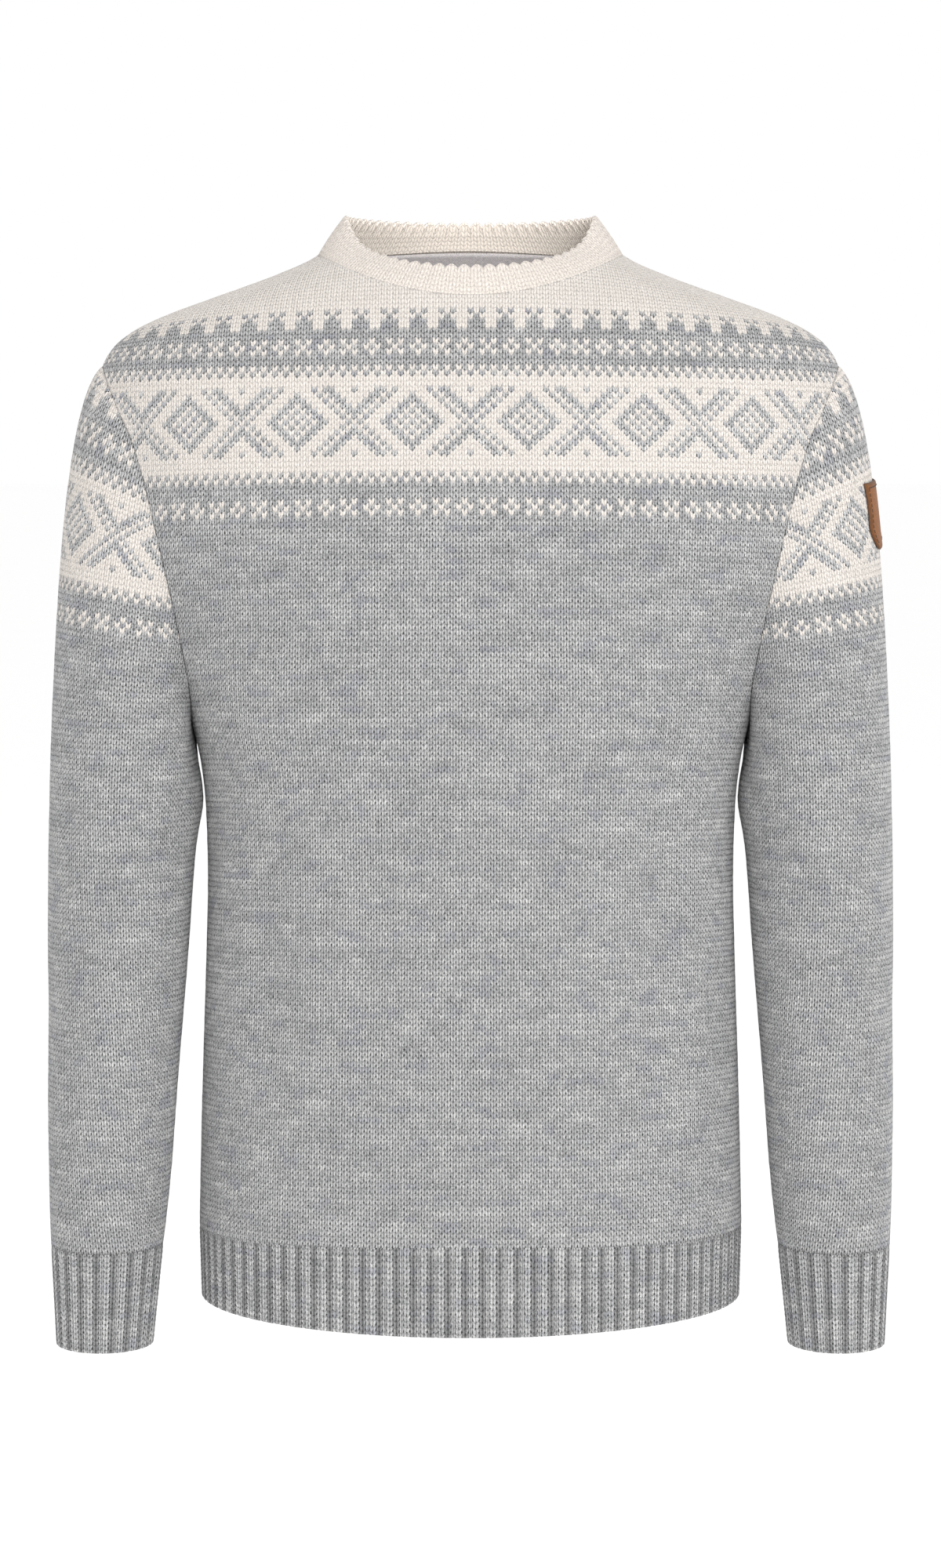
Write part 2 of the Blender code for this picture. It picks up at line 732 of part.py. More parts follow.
def build_collar():
    """Folded collar, with rounded picot teeth along its top."""
    loop = neck_loop()
    count = PICOT_TEETH * PICOT_POINTS
    rings = [[] for _ in range(5)]
    for index in range(count):
        place = index * len(loop) / count
        corner = int(place)
        base = mix(loop[corner], loop[(corner + 1) % len(loop)], place - corner)
        top = collar_top(2 * math.pi * index / count)
        rise = unit(top - base)
        away = unit(top * np.array([1.0, 1.0, 0.0]))
        outward = unit(away - rise * float(away @ rise))
        tooth = 0.0 if index % PICOT_POINTS == 0 else PICOT_HEIGHT
        foot = base + rise * SEAM_GAP
        tip = top + rise * tooth
        rings[0].append(foot)
        rings[1].append(mix(foot, top, 0.5) + outward * COLLAR_SWELL)
        rings[2].append(tip)
        rings[3].append(tip - outward * COLLAR_CLOTH * (1.0 if tooth == 0.0 else PICOT_THINNING))
        rings[4].append(foot - outward * COLLAR_CLOTH)
    mesh = bmesh.new()
    points = [[mesh.verts.new(point * MM) for point in ring] for ring in rings]
    for row, ring in enumerate(points):
        above = points[(row + 1) % len(points)]
        for index in range(count):
            beside = (index + 1) % count
            mesh.faces.new((ring[index], ring[beside], above[beside], above[index]))
    return finished_object("collar", mesh, CREAM_WOOL)


def build_facing():
    """Smooth strip inside the back neck, following the back panel from inside."""
    outer, inner = [], []
    depth = BODY_CLOTH + FACING_CLEARANCE
    for row in range(FACING_ROWS + 1):
        outer_row, inner_row = [], []
        for column in range(-FACING_COLUMNS, FACING_COLUMNS + 1):
            share = abs(column) / FACING_COLUMNS
            top = neckline_point(share * FACING_SPAN / NECK_COLUMNS, 1)
            taper = math.sqrt(1 - (FACING_TAPER * share) ** 2)
            height = top[2] - FACING_DROP - FACING_HEIGHT * taper * (1 - row / FACING_ROWS)
            arc = arc_at(top[2], 1, top[0])
            point = torso_point(height, 1, math.copysign(arc, column))
            normal = torso_normal(point, 1)
            outer_row.append(point - normal * depth)
            inner_row.append(point - normal * (depth + FACING_CLOTH))
        outer.append(outer_row)
        inner.append(inner_row)
    return wall_mesh("neck_facing", outer, inner, FACING_FABRIC)


def sleeve_surface(height, turn_degrees):
    """Point and outward direction of the +X sleeve's outer side near its shoulder."""
    seam = armhole_seam()
    count = len(seam)
    place = (turn_degrees / 360.0 * count) % count
    corner = int(place)

    def column_point(index, level):
        start, _, _, lead = seam[index % count]
        end = arm_point(SLEEVE_FREE_HEIGHT, 2 * math.pi * (index % count) / count)
        fall = cap_fall(start, end)
        low, high = 0.0, 1.0
        for _ in range(HALVINGS):
            middle = (low + high) / 2
            if hermite(start, lead, end, fall, middle)[2] > level:
                low = middle
            else:
                high = middle
        return hermite(start, lead, end, fall, middle)

    def surface(level):
        return mix(column_point(corner, level), column_point(corner + 1, level), place - corner)

    point = surface(height)
    down = surface(height - 1.0) - surface(height + 1.0)
    along = column_point(corner + 1, height) - column_point(corner, height)
    return point, unit(np.cross(along, down))


def shield_half_width(part):
    """Half width of the badge, as a share of its full half width, from top (0) to point (1)."""
    if part < SHIELD_SHOULDER:
        return 1 - SHIELD_WAIST * math.sin(part / SHIELD_SHOULDER * math.pi)
    fall = (part - SHIELD_SHOULDER) / (1 - SHIELD_SHOULDER)
    return max(math.sqrt(max(1 - fall**SHIELD_ROUNDNESS, 0.0)), SHIELD_POINT)


def build_badge():
    """Shield-shaped leather badge, bent to the outer side of the left sleeve."""
    probes = (BADGE_TURN - BADGE_PROBE, BADGE_TURN + BADGE_PROBE)
    outer, inner = [], []
    for row in range(BADGE_ROWS + 1):
        part = 1 - row / BADGE_ROWS
        height = BADGE_CENTRE_HEIGHT + BADGE_HEIGHT * (0.5 - part)
        near, far = (sleeve_surface(height, turn)[0] for turn in probes)
        turn_step = 2 * BADGE_PROBE / float(np.linalg.norm(far - near))
        outer_row, inner_row = [], []
        for column in range(BADGE_COLUMNS + 1):
            across = (1 - 2 * column / BADGE_COLUMNS) * BADGE_WIDTH / 2 * shield_half_width(part)
            level = height - across * BADGE_FALL
            point, outward = sleeve_surface(level, BADGE_TURN + across * turn_step)
            outer_row.append(point + outward * (BADGE_CLEARANCE + BADGE_LEATHER))
            inner_row.append(point + outward * BADGE_CLEARANCE)
        outer.append(outer_row)
        inner.append(inner_row)
    return wall_mesh("sleeve_badge", outer, inner, BADGE_HIDE)


def clear_scene():
    """Remove what the file starts with."""
    for item in list(bpy.data.objects):
        bpy.data.objects.remove(item, do_unlink=True)


def main():
    """Build every piece of the sweater."""
    clear_scene()
    build_panel("front_panel", -1)
    build_panel("back_panel", 1)
    build_hem_rib("front_hem_rib", -1)
    build_hem_rib("back_hem_rib", 1)
    for side_name, flip in (("left", 1), ("right", -1)):
        build_sleeve(f"{side_name}_sleeve", flip)
        build_cuff(f"{side_name}_cuff", flip)
    build_collar()
    build_facing()
    build_badge()


main()
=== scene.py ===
"""Nordic yoke sweater, filled out as it is worn: its knitted cloth over the rigid form.

Sizes are in millimetres, and the meshes are made in metres.  The wearer faces -Y, the
wearer's left is +X and +Z is up.  Knit is counted in stitches across and rows upwards:
stitch 0 is the middle stitch of a piece, and row 0 the middle row of the cross band.
"""

import logging
import math
from dataclasses import dataclass, fields, replace
from enum import Enum
from typing import Callable, Sequence

import bmesh
import bpy
import numpy as np
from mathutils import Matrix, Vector, kdtree


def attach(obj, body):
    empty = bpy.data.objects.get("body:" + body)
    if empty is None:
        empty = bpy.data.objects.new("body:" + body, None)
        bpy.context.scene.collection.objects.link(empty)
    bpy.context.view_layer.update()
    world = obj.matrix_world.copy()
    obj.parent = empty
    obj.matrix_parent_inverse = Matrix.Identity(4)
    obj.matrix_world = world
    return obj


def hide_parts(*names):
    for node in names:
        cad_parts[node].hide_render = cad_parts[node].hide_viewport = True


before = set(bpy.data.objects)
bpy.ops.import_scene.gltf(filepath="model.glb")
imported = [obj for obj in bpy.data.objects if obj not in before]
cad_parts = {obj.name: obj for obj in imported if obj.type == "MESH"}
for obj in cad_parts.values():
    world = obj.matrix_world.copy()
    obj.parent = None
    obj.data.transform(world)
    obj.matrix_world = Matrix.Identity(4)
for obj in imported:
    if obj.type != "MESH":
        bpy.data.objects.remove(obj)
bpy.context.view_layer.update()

LOG = logging.getLogger("sweater")
MM = 0.001
Array = np.ndarray
Piece = bpy.types.Object
Material = bpy.types.Material
Tree = bpy.types.NodeTree
Node = bpy.types.Node
Socket = bpy.types.NodeSocket
TINY = 1e-12

# Cloth, gauge and seams.
BODY_CLOTH = 2.6
COLLAR_CLOTH = 4.0
FACING_CLOTH = 1.0
STITCH_WIDTH = 3.53
ROW_HEIGHT = 3.36
SEAM_REACH = 6.0
LEG_RIDGE = 0.50
STITCH_VALLEY = 0.35
STITCHES_TO_FACE = 0.25
SMOOTH_ANGLE = math.radians(50)

# Wool's looks.
FUZZ_ROUGHNESS = 0.65
FUZZ_CONTRAST = 1.1
CLOTH_SPECULAR = 0.25
SHEEN_ROUGHNESS = 0.5

# Body.
SECTION_POWER = 2.15
SHOULDER_TIP_HEIGHT = -60.0
UNDERARM_HEIGHT = -285.0
ARMHOLE_REACH = {"front": 58.0, "back": 54.0}
ARMHOLE_ROUNDNESS = 0.85
NECK_SIDE_HEIGHT = 9.0
NECK_CENTRE_HEIGHT = {"front": -18.0, "back": 15.0}
HALF_STITCHES = 63
YOKE_ROW = 5.0
YOKE_ROW_HEIGHT = 3.42
DROOP_STITCH = 57.0

# Ribs.
HEM_HEIGHT = -653.0
HEM_DIP = 3.0
HEM_SEAM_HEIGHT = -608.0
HEM_SEAM_RISE = 8.0
HEM_PROBE = 0.004
HEM_RIBS = 44
CUFF_RIBS = 20
RIB_DEPTH = 1.4
RIB_CLOTH = 1.2
RIB_GROOVE = 0.11
GROOVE_DEPTH = 1.15
RIB_STITCHES = 3

# Sleeve.
SLEEVE_FREE_HEIGHT = -340.0
SLEEVE_FREE_DRIFT = 6.0
CUFF_SEAM_HEIGHT = -615.0
CUFF_END_HEIGHT = -678.0
CHART_SHIFT = {"left": 3, "right": 0}

# Collar and facing.
COLLAR_TOP_HALF_WIDTH = 80.0
COLLAR_TOP_REACH = {"front": 67.0, "back": 52.0}
COLLAR_CENTRE_HEIGHT = {"front": -1.2, "back": 30.0}
COLLAR_FRONT_CURVE = 0.8
COLLAR_FRONT_CORNER = 0.3
COLLAR_SIDE_HEIGHT = 32.1
COLLAR_SWELL = 0.6
PICOT_TEETH = 64
PICOT_HEIGHT = 2.6
PICOT_THINNING = 0.6
FACING_HEIGHT = 30.2
FACING_SPAN = 4.6 / 6
FACING_DROP = 0.05
FACING_TAPER = 0.9
FACING_CLEARANCE = 0.5

# Badge.
BADGE_WIDTH = 40.0
BADGE_HEIGHT = 43.0
BADGE_CENTRE_HEIGHT = -153.8
BADGE_TURN = 11.0
BADGE_FALL = 0.08
BADGE_CLEARANCE = 0.75
BADGE_LEATHER = 1.2
SHIELD_SHOULDER = 0.62
SHIELD_WAIST = 0.06
SHIELD_ROUNDNESS = 1.7
SHIELD_POINT = 0.06


class Direction(Enum):
    """Named direction, whose value is its sign along an axis."""

    @property
    def key(self) -> str:
        """Its name in the size tables and in the names of pieces."""
        return self.name.lower()


class Side(Direction):
    """Front or back of the body, along Y."""

    FRONT = -1
    BACK = 1


class Hand(Direction):
    """The wearer's left or right, along X."""

    LEFT = 1
    RIGHT = -1


@dataclass(frozen=True)
class TorsoLevel:
    """Size of the body's section at a height."""

    height: float
    half_width: float
    front: float
    back: float


@dataclass(frozen=True)
class ArmLevel:
    """Place and size of the sleeve's section at a height."""

    height: float
    centre: float
    forward: float
    half_width: float
    half_depth: float


@dataclass(frozen=True)
class CapLead:
    """Direction in which a sleeve leaves its armhole, by the turn round it."""

    turn: float
    outward: float
    forward: float
    down: float


@dataclass(frozen=True)
class RowLevel:
    """Height of a row of the body at the centre line, and its droop to the sides."""

    row: float
    height: float
    droop: float


@dataclass(frozen=True)
class RowPlane:
    """Height of a row of the sleeve at the reference line, and its fall inwards."""

    row: float
    height: float
    slope: float


@dataclass(frozen=True)
class Fold:
    """Soft trough, or ridge if its depth is negative.

    share is its place across, as a part of the half width, height its middle, spread
    and reach its size across and along, and lean how it drifts across going up.
    """

    share: float
    height: float
    spread: float
    reach: float
    depth: float
    lean: float


TORSO_LEVELS = (
    TorsoLevel(20, 82, 44, 52),
    TorsoLevel(6.3, 100, 56, 65),
    TorsoLevel(-3.7, 122.5, 65, 73),
    TorsoLevel(-18.7, 164, 75.5, 82),
    TorsoLevel(-28.6, 191, 81, 87),
    TorsoLevel(-38.6, 212, 86, 92),
    TorsoLevel(-48.6, 224.5, 90.5, 96),
    TorsoLevel(-60, 231.5, 94.5, 100),
    TorsoLevel(-72, 234.5, 98, 103.5),
    TorsoLevel(-86, 234.8, 101.5, 106.5),
    TorsoLevel(-106, 231.5, 105.5, 109.5),
    TorsoLevel(-139, 226, 111, 112),
    TorsoLevel(-165, 220, 113.5, 112.5),
    TorsoLevel(-194, 211, 115, 111),
    TorsoLevel(-230, 197.5, 115, 108.5),
    TorsoLevel(-260, 185, 114, 106),
    TorsoLevel(-285, 177, 113, 104.5),
    TorsoLevel(-312, 171, 112, 103),
    TorsoLevel(-340, 168.2, 111.5, 102),
    TorsoLevel(-380, 167.3, 111, 101.5),
    TorsoLevel(-430, 168.5, 111.5, 102),
    TorsoLevel(-500, 171, 113.5, 105),
    TorsoLevel(-565, 173, 116, 109),
    TorsoLevel(-625, 174.2, 118, 112),
    TorsoLevel(-660, 172.5, 119, 113),
)

ARM_LEVELS = (
    ArmLevel(-340, 218.2, -10, 47.8, 61),
    ArmLevel(-365, 220.8, -11, 46.1, 58.5),
    ArmLevel(-426, 223.8, -14, 44.4, 54.5),
    ArmLevel(-472, 225.8, -17, 42.6, 51),
    ArmLevel(-502, 227, -20, 41.3, 48.5),
    ArmLevel(-533, 228.2, -23, 40.2, 46),
    ArmLevel(-563, 229, -26, 38.9, 43.5),
    ArmLevel(-594, 230.2, -29, 37.1, 40.5),
    ArmLevel(-625, 231.3, -33, 34.5, 37),
    ArmLevel(-656, 231.9, -36, 31.9, 33.5),
    ArmLevel(-687, 232.8, -38, 30, 31.5),
)

CAP_LEADS = (
    CapLead(0, 81, 0, 60),
    CapLead(45, 66, 12, 85),
    CapLead(90, 42, 16, 105),
    CapLead(135, 16, 6, 85),
    CapLead(180, -3, 0, 55),
)

ROW_LEVELS = (
    RowLevel(5, -79, 2.7),
    RowLevel(0, -95, 2.8),
    RowLevel(-11, -129.9, 4),
    RowLevel(-17, -149.7, 5.2),
    RowLevel(-50, -259.1, 6.3),
    RowLevel(-100, -427.3, 6.4),
    RowLevel(-151, -599.7, 6.4),
    RowLevel(-156, -616.6, 6.4),
)

SLEEVE_REFERENCE = 228.0
ROW_PLANES = (
    RowPlane(30, -40, 1),
    RowPlane(25, -57.5, 0.95),
    RowPlane(21, -74, 0.80),
    RowPlane(14, -107, 0.54),
    RowPlane(9, -131.5, 0.42),
    RowPlane(0, -163.5, 0.268),
    RowPlane(-10, -198.5, 0.18),
    RowPlane(-25, -249, 0.09),
    RowPlane(-45, -316, 0),
    RowPlane(-100, -501.5, 0),
    RowPlane(-150, -670, 0),
)

FRONT_FOLDS = (
    Fold(-0.58, -455, 17, 95, 3.2, -0.05),
    Fold(-0.27, -430, 16, 85, 2.6, 0.04),
    Fold(0.13, -500, 18, 70, 1.8, 0.02),
    Fold(0.55, -390, 18, 130, 3.4, 0.06),
    Fold(0.78, -470, 16, 80, 2.2, -0.04),
    Fold(-0.80, -330, 15, 60, 2.6, 0.35),
    Fold(0.80, -320, 15, 60, 2.4, -0.35),
    Fold(-0.42, -560, 12, 45, 1.1, 0.10),
    Fold(0.36, -545, 11, 40, 1, -0.08),
    Fold(-0.70, -250, 9, 34, 1.3, 0.60),
    Fold(0.72, -262, 9, 30, 1.5, -0.55),
    Fold(0.02, -300, 26, 60, -1, 0),
)
BACK_FOLDS = (
    Fold(-0.50, -420, 18, 110, 3.2, 0.05),
    Fold(-0.12, -500, 17, 75, 2.2, -0.03),
    Fold(0.33, -440, 17, 95, 2.8, 0.04),
    Fold(0.68, -380, 17, 105, 3, -0.06),
    Fold(-0.80, -325, 15, 60, 2.4, 0.35),
    Fold(0.80, -330, 15, 60, 2.6, -0.35),
    Fold(-0.30, -570, 12, 42, 1.2, -0.08),
    Fold(0.50, -560, 12, 45, 1.1, 0.06),
    Fold(-0.72, -245, 9, 32, 1.4, 0.55),
    Fold(0.70, -255, 9, 30, 1.3, -0.60),
)
SLEEVE_FOLDS = (
    Fold(0.40, -425, 20, 26, 1.9, 0.5),
    Fold(0.62, -452, 18, 20, 1.6, 0.4),
    Fold(0.22, -476, 22, 24, 1.5, -0.5),
    Fold(-0.45, -440, 22, 28, 1.8, -0.4),
    Fold(-0.30, -500, 20, 30, 1.3, 0.3),
    Fold(0.75, -345, 14, 34, 1.8, 0.7),
    Fold(-0.72, -350, 15, 36, 1.6, -0.7),
    Fold(0.10, -330, 24, 70, -1, 0.1),
    Fold(0.45, -560, 16, 30, 1.1, 0.2),
)


# ---- small tools


def hermite(start: Array, start_slope: Array, end: Array, end_slope: Array, part: Array) -> Array:
    """Point on the cubic that leaves start and reaches end with the given slopes.

    Args:
        start: Where it starts.
        start_slope: Its slope there.
        end: Where it ends.
        end_slope: Its slope there.
        part: Share of the way, from 0 to 1.

    Returns:
        The point.
    """
    square = part * part
    cube = square * part
    return (
        (2 * cube - 3 * square + 1) * start
        + (cube - 2 * square + part) * start_slope
        + (3 * square - 2 * cube) * end
        + (cube - square) * end_slope
    )


def smooth_step(low: float, high: float, value: Array) -> Array:
    """Soft step of value from 0 at low to 1 at high."""
    part = np.clip((value - low) / (high - low), 0.0, 1.0)
    return part * part * (3 - 2 * part)


def even_steps(start: float, end: float, step: float) -> Array:
    """Even steps from start up to end, both included."""
    return np.arange(start, end + step / 2, step)


def unit(vectors: Array) -> Array:
    """Vectors in the same directions, of length 1."""
    return vectors / np.linalg.norm(vectors, axis=-1, keepdims=True)


def running(steps: Array) -> Array:
    """Distance run along lines, from 0, by the lengths of their steps."""
    return np.concatenate((np.zeros_like(steps[..., :1]), np.cumsum(steps, axis=-1)), axis=-1)


def length_along(points: Array) -> Array:
    """Distance run along lines of points."""
    return running(np.linalg.norm(np.diff(points, axis=-2), axis=-1))


def bilinear(table: Array, row: Array, column: Array) -> Array:
    """Table read between its entries.

    Args:
        table: Values by row and column, with any further axes.
        row: Rows to read, with fractions.
        column: Columns to read, with fractions.

    Returns:
        The values, held at the table's edges.
    """
    row = np.clip(row, 0, table.shape[0] - 1.0001)
    column = np.clip(column, 0, table.shape[1] - 1.0001)
    top, left = row.astype(int), column.astype(int)
    down, right = row - top, column - left
    if table.ndim > 2:
        down, right = down[..., None], right[..., None]
    upper = table[top, left] * (1 - right) + table[top, left + 1] * right
    lower = table[top + 1, left] * (1 - right) + table[top + 1, left + 1] * right
    return upper * (1 - down) + lower * down


class SmoothTable:
    """Columns of a table read at any key, along smooth curves that never overshoot."""

    def __init__(self, rows: Sequence[object]) -> None:
        """Take in the rows, whose first field is the key."""
        names = [item.name for item in fields(rows[0])]
        ordered = sorted(rows, key=lambda row: getattr(row, names[0]))
        columns = {name: np.array([getattr(row, name) for row in ordered], float) for name in names}
        self.keys = columns.pop(names[0])
        self.columns = columns
        self.slopes = {name: self.gentle_slopes(values) for name, values in self.columns.items()}

    def gentle_slopes(self, values: Array) -> Array:
        """Slope at each row: the harmonic mean of its neighbours, or flat at a peak."""
        steps = np.diff(values) / np.diff(self.keys)
        slopes = np.empty(len(values))
        slopes[0], slopes[-1] = steps[0], steps[-1]
        before, after = steps[:-1], steps[1:]
        same_way = before * after > 0
        total = np.where(same_way, before + after, 1.0)
        slopes[1:-1] = np.where(same_way, 2 * before * after / total, 0.0)
        return slopes

    def read(self, name: str, key: Array) -> Array:
        """Values of one column, held at the end rows beyond them."""
        key = np.clip(key, self.keys[0], self.keys[-1])
        row = np.clip(np.searchsorted(self.keys, key) - 1, 0, len(self.keys) - 2)
        reach = self.keys[row + 1] - self.keys[row]
        values, slopes = self.columns[name], self.slopes[name]
        part = (key - self.keys[row]) / reach
        return hermite(values[row], slopes[row] * reach, values[row + 1], slopes[row + 1] * reach, part)


def fold_depth(folds: Sequence[Fold], half: Array, arc: Array, height: Array) -> Array:
    """How far the folds dip into the cloth.

    Args:
        folds: The folds.
        half: Half of the cloth's width at each point.
        arc: Distance of each point from the middle line.
        height: Height of each point.

    Returns:
        The depth at each point.
    """
    depth = np.zeros_like(arc)
    for fold in folds:
        middle = fold.share * half + fold.lean * (height - fold.height)
        across = (arc - middle) / fold.spread
        along = (height - fold.height) / fold.reach
        depth += fold.depth * np.exp(-across * across - along * along)
    return depth


# ---- garment form


def section_share(share: Array) -> Array:
    """How deep a section is, as a share of its middle, where it is this far out."""
    return np.clip(1 - share**SECTION_POWER, 0, 1) ** (1 / SECTION_POWER)


class Torso:
    """Outer form of the body: a rounded section at every height."""

    height_step = 0.5
    shares = 161
    turns = 481

    def __init__(self) -> None:
        """Work out the sections from the levels."""
        self.table = SmoothTable(TORSO_LEVELS)
        low, high = self.table.keys[0], self.table.keys[-1]
        self.heights = even_steps(low, high, self.height_step)
        turn = np.linspace(0, math.pi / 2, self.turns)
        power = 2 / SECTION_POWER
        across = self.table.read("half_width", self.heights)[:, None] * np.sin(turn) ** power
        even = np.linspace(0, 1, self.shares)
        self.across, self.depth, self.runs = {}, {}, {}
        for side in Side:
            reach = self.table.read(side.key, self.heights)[:, None]
            deep = reach * np.clip(np.cos(turn), 0, 1) ** power
            steps = np.hypot(np.diff(across, axis=1), np.diff(deep, axis=1))
            run = running(steps)
            self.runs[side] = run[:, -1]
            self.across[side] = self.evened(run, across, even)
            self.depth[side] = self.evened(run, deep, even)

    @staticmethod
    def evened(run: Array, values: Array, even: Array) -> Array:
        """Values of each section at even shares of its running length."""
        return np.array([np.interp(even * line[-1], line, row) for line, row in zip(run, values)])

    def half_arc(self, side: Side, height: Array) -> Array:
        """Distance round a section from the centre line to the side."""
        return np.interp(height, self.heights, self.runs[side])

    def point(self, side: Side, height: Array, arc: Array) -> Array:
        """Points of the body.

        Args:
            side: Front or back.
            height: Their height.
            arc: Their distance round from the centre line, with the sign of their X.

        Returns:
            The points.
        """
        height, arc = np.broadcast_arrays(np.asarray(height, float), np.asarray(arc, float))
        level = (height - self.heights[0]) / self.height_step
        share = np.clip(np.abs(arc) / self.half_arc(side, height), 0, 1) * (self.shares - 1)
        across = np.sign(arc) * bilinear(self.across[side], level, share)
        depth = side.value * bilinear(self.depth[side], level, share)
        return np.stack((across, depth, height), axis=-1)

    def arc_at(self, side: Side, height: float, across: float) -> float:
        """Distance round from the centre line to where a section is this far out."""
        row = int(round((height - self.heights[0]) / self.height_step))
        line = self.across[side][row]
        return float(np.interp(across, line, np.linspace(0, 1, self.shares)) * self.runs[side][row])


class Armhole:
    """Armhole seam on the +X side: turn 0 at the shoulder tip, half a turn underarm."""

    height_step = 0.5

    def __init__(self, torso: Torso) -> None:
        """Work out the seam's distance from the centre line at every height."""
        self.torso = torso
        self.middle = (SHOULDER_TIP_HEIGHT + UNDERARM_HEIGHT) / 2
        self.half = (SHOULDER_TIP_HEIGHT - UNDERARM_HEIGHT) / 2
        self.heights = even_steps(UNDERARM_HEIGHT, SHOULDER_TIP_HEIGHT, self.height_step)
        turn = np.arccos(np.clip((self.heights - self.middle) / self.half, -1, 1))
        self.arcs = {}
        for side in Side:
            across = self.point(side, turn)[:, 0]
            pairs = zip(self.heights, across)
            self.arcs[side] = np.array([torso.arc_at(side, height, x) for height, x in pairs])

    def point(self, side: Side, turn: Array) -> Array:
        """Points of the seam at turns from 0 to pi."""
        height = self.middle + self.half * np.cos(turn)
        reach = ARMHOLE_REACH[side.key] * np.clip(np.sin(turn), 0, 1) ** ARMHOLE_ROUNDNESS
        share = section_share(reach / self.torso.table.read(side.key, height))
        across = self.torso.table.read("half_width", height) * share
        return np.stack((across, side.value * reach, height), axis=-1)

    def arc(self, side: Side, height: Array) -> Array:
        """Distance from the centre line to the panel's edge at a height."""
        inside = (height > UNDERARM_HEIGHT) & (height < SHOULDER_TIP_HEIGHT)
        edge = np.interp(height, self.heights, self.arcs[side])
        return np.where(inside, edge, self.torso.half_arc(side, height))


class Neckline:
    """Neck seam, low at the front and high at the back."""

    def __init__(self, torso: Torso) -> None:
        """Find how far out the neck seam meets the shoulder seam."""
        self.torso = torso
        self.reach = float(torso.table.read("half_width", np.array(NECK_SIDE_HEIGHT)))

    def height(self, side: Side, across: Array) -> Array:
        """Height of the seam at a distance from the centre line."""
        centre = NECK_CENTRE_HEIGHT[side.key]
        return centre + (NECK_SIDE_HEIGHT - centre) * (across / self.reach) ** 2

    def point(self, side: Side, part: Array) -> Array:
        """Points of the seam on the +X side, from the centre (0) to the shoulder (1)."""
        turn = part * math.pi / 2
        across = self.reach * np.sin(turn)
        height = self.height(side, across)
        share = section_share(across / self.torso.table.read("half_width", height))
        depth = self.torso.table.read(side.key, height) * share
        return np.stack((across, side.value * depth, height), axis=-1)

    def loop(self, turn: Array) -> Array:
        """Points all round the neck; turn 0 is the front centre, a quarter the left side."""
        quarter = (turn % (2 * math.pi)) / (math.pi / 2)
        flip = np.where(quarter > 2, -1.0, 1.0)
        near = np.where(quarter > 2, 4 - quarter, quarter)
        front = self.point(Side.FRONT, np.clip(near, 0, 1))
        back = self.point(Side.BACK, np.clip(2 - near, 0, 1))
        points = np.where((near <= 1)[:, None], front, back)
        return points * np.stack((flip, np.ones_like(flip), np.ones_like(flip)), axis=-1)


class SleeveForm:
    """Outer form of the +X sleeve; turn 0 is its outer side and a quarter its front."""

    probe_shares = 241
    probe_turn = 0.01
    probe_height = 1.0

    def __init__(self, armhole: Armhole) -> None:
        """Take in the seam that the sleeve hangs from."""
        self.armhole = armhole
        self.arm = SmoothTable(ARM_LEVELS)
        self.leads = SmoothTable(CAP_LEADS)

    def arm_point(self, height: Array, turn: Array) -> Array:
        """Points of the sleeve below the armhole."""
        height, turn = np.broadcast_arrays(height, turn)
        across = self.arm.read("centre", height) + self.arm.read("half_width", height) * np.cos(turn)
        depth = self.arm.read("forward", height) - self.arm.read("half_depth", height) * np.sin(turn)
        return np.stack((across, depth, height), axis=-1)

    def seam(self, turn: Array) -> tuple[Array, Array]:
        """Points of the armhole seam and the leads in which the sleeve leaves them."""
        near = np.abs(turn)
        ahead = (turn >= 0)[..., None]
        start = np.where(ahead, self.armhole.point(Side.FRONT, near), self.armhole.point(Side.BACK, near))
        degrees = np.degrees(near)
        forward = self.leads.read("forward", degrees) * np.where(turn >= 0, -1.0, 1.0)
        outward, down = (self.leads.read(name, degrees) for name in ("outward", "down"))
        return start, np.stack((outward, forward, -down), axis=-1)

    def point(self, turn: Array, share: Array) -> Array:
        """Points of the sleeve.

        Args:
            turn: Turn round the sleeve, from -pi to pi.
            share: 0 at the armhole seam, 1 where the arm hangs free, 2 at the cuff seam.

        Returns:
            The points.
        """
        turn, share = np.broadcast_arrays(np.asarray(turn, float), np.asarray(share, float))
        start, lead = self.seam(turn)
        end = self.arm_point(np.full(turn.shape, SLEEVE_FREE_HEIGHT), turn)
        fall = np.zeros_like(end)
        fall[..., 0] = SLEEVE_FREE_DRIFT
        fall[..., 2] = end[..., 2] - start[..., 2]
        cap = hermite(start, lead, end, fall, np.clip(share, 0, 1)[..., None])
        height = SLEEVE_FREE_HEIGHT + (CUFF_SEAM_HEIGHT - SLEEVE_FREE_HEIGHT) * np.clip(share - 1, 0, 1)
        return np.where((share <= 1)[..., None], cap, self.arm_point(height, turn))

    def surface(self, height: float, turn: float) -> tuple[Array, Array]:
        """Point and outward direction of the cap at a height, for what is sewn on it."""
        shares = np.linspace(0, 1, self.probe_shares)

        def at(level: float, angle: float) -> Array:
            """Point of the cap at a height and a turn."""
            line = self.point(np.full(shares.shape, angle), shares)
            share = np.interp(-level, -line[:, 2], shares)
            return self.point(np.array(angle), np.array(share))

        along = at(height, turn + self.probe_turn) - at(height, turn - self.probe_turn)
        down = at(height - self.probe_height, turn) - at(height + self.probe_height, turn)
        return at(height, turn), unit(np.cross(along, down))


# ---- knit over the form


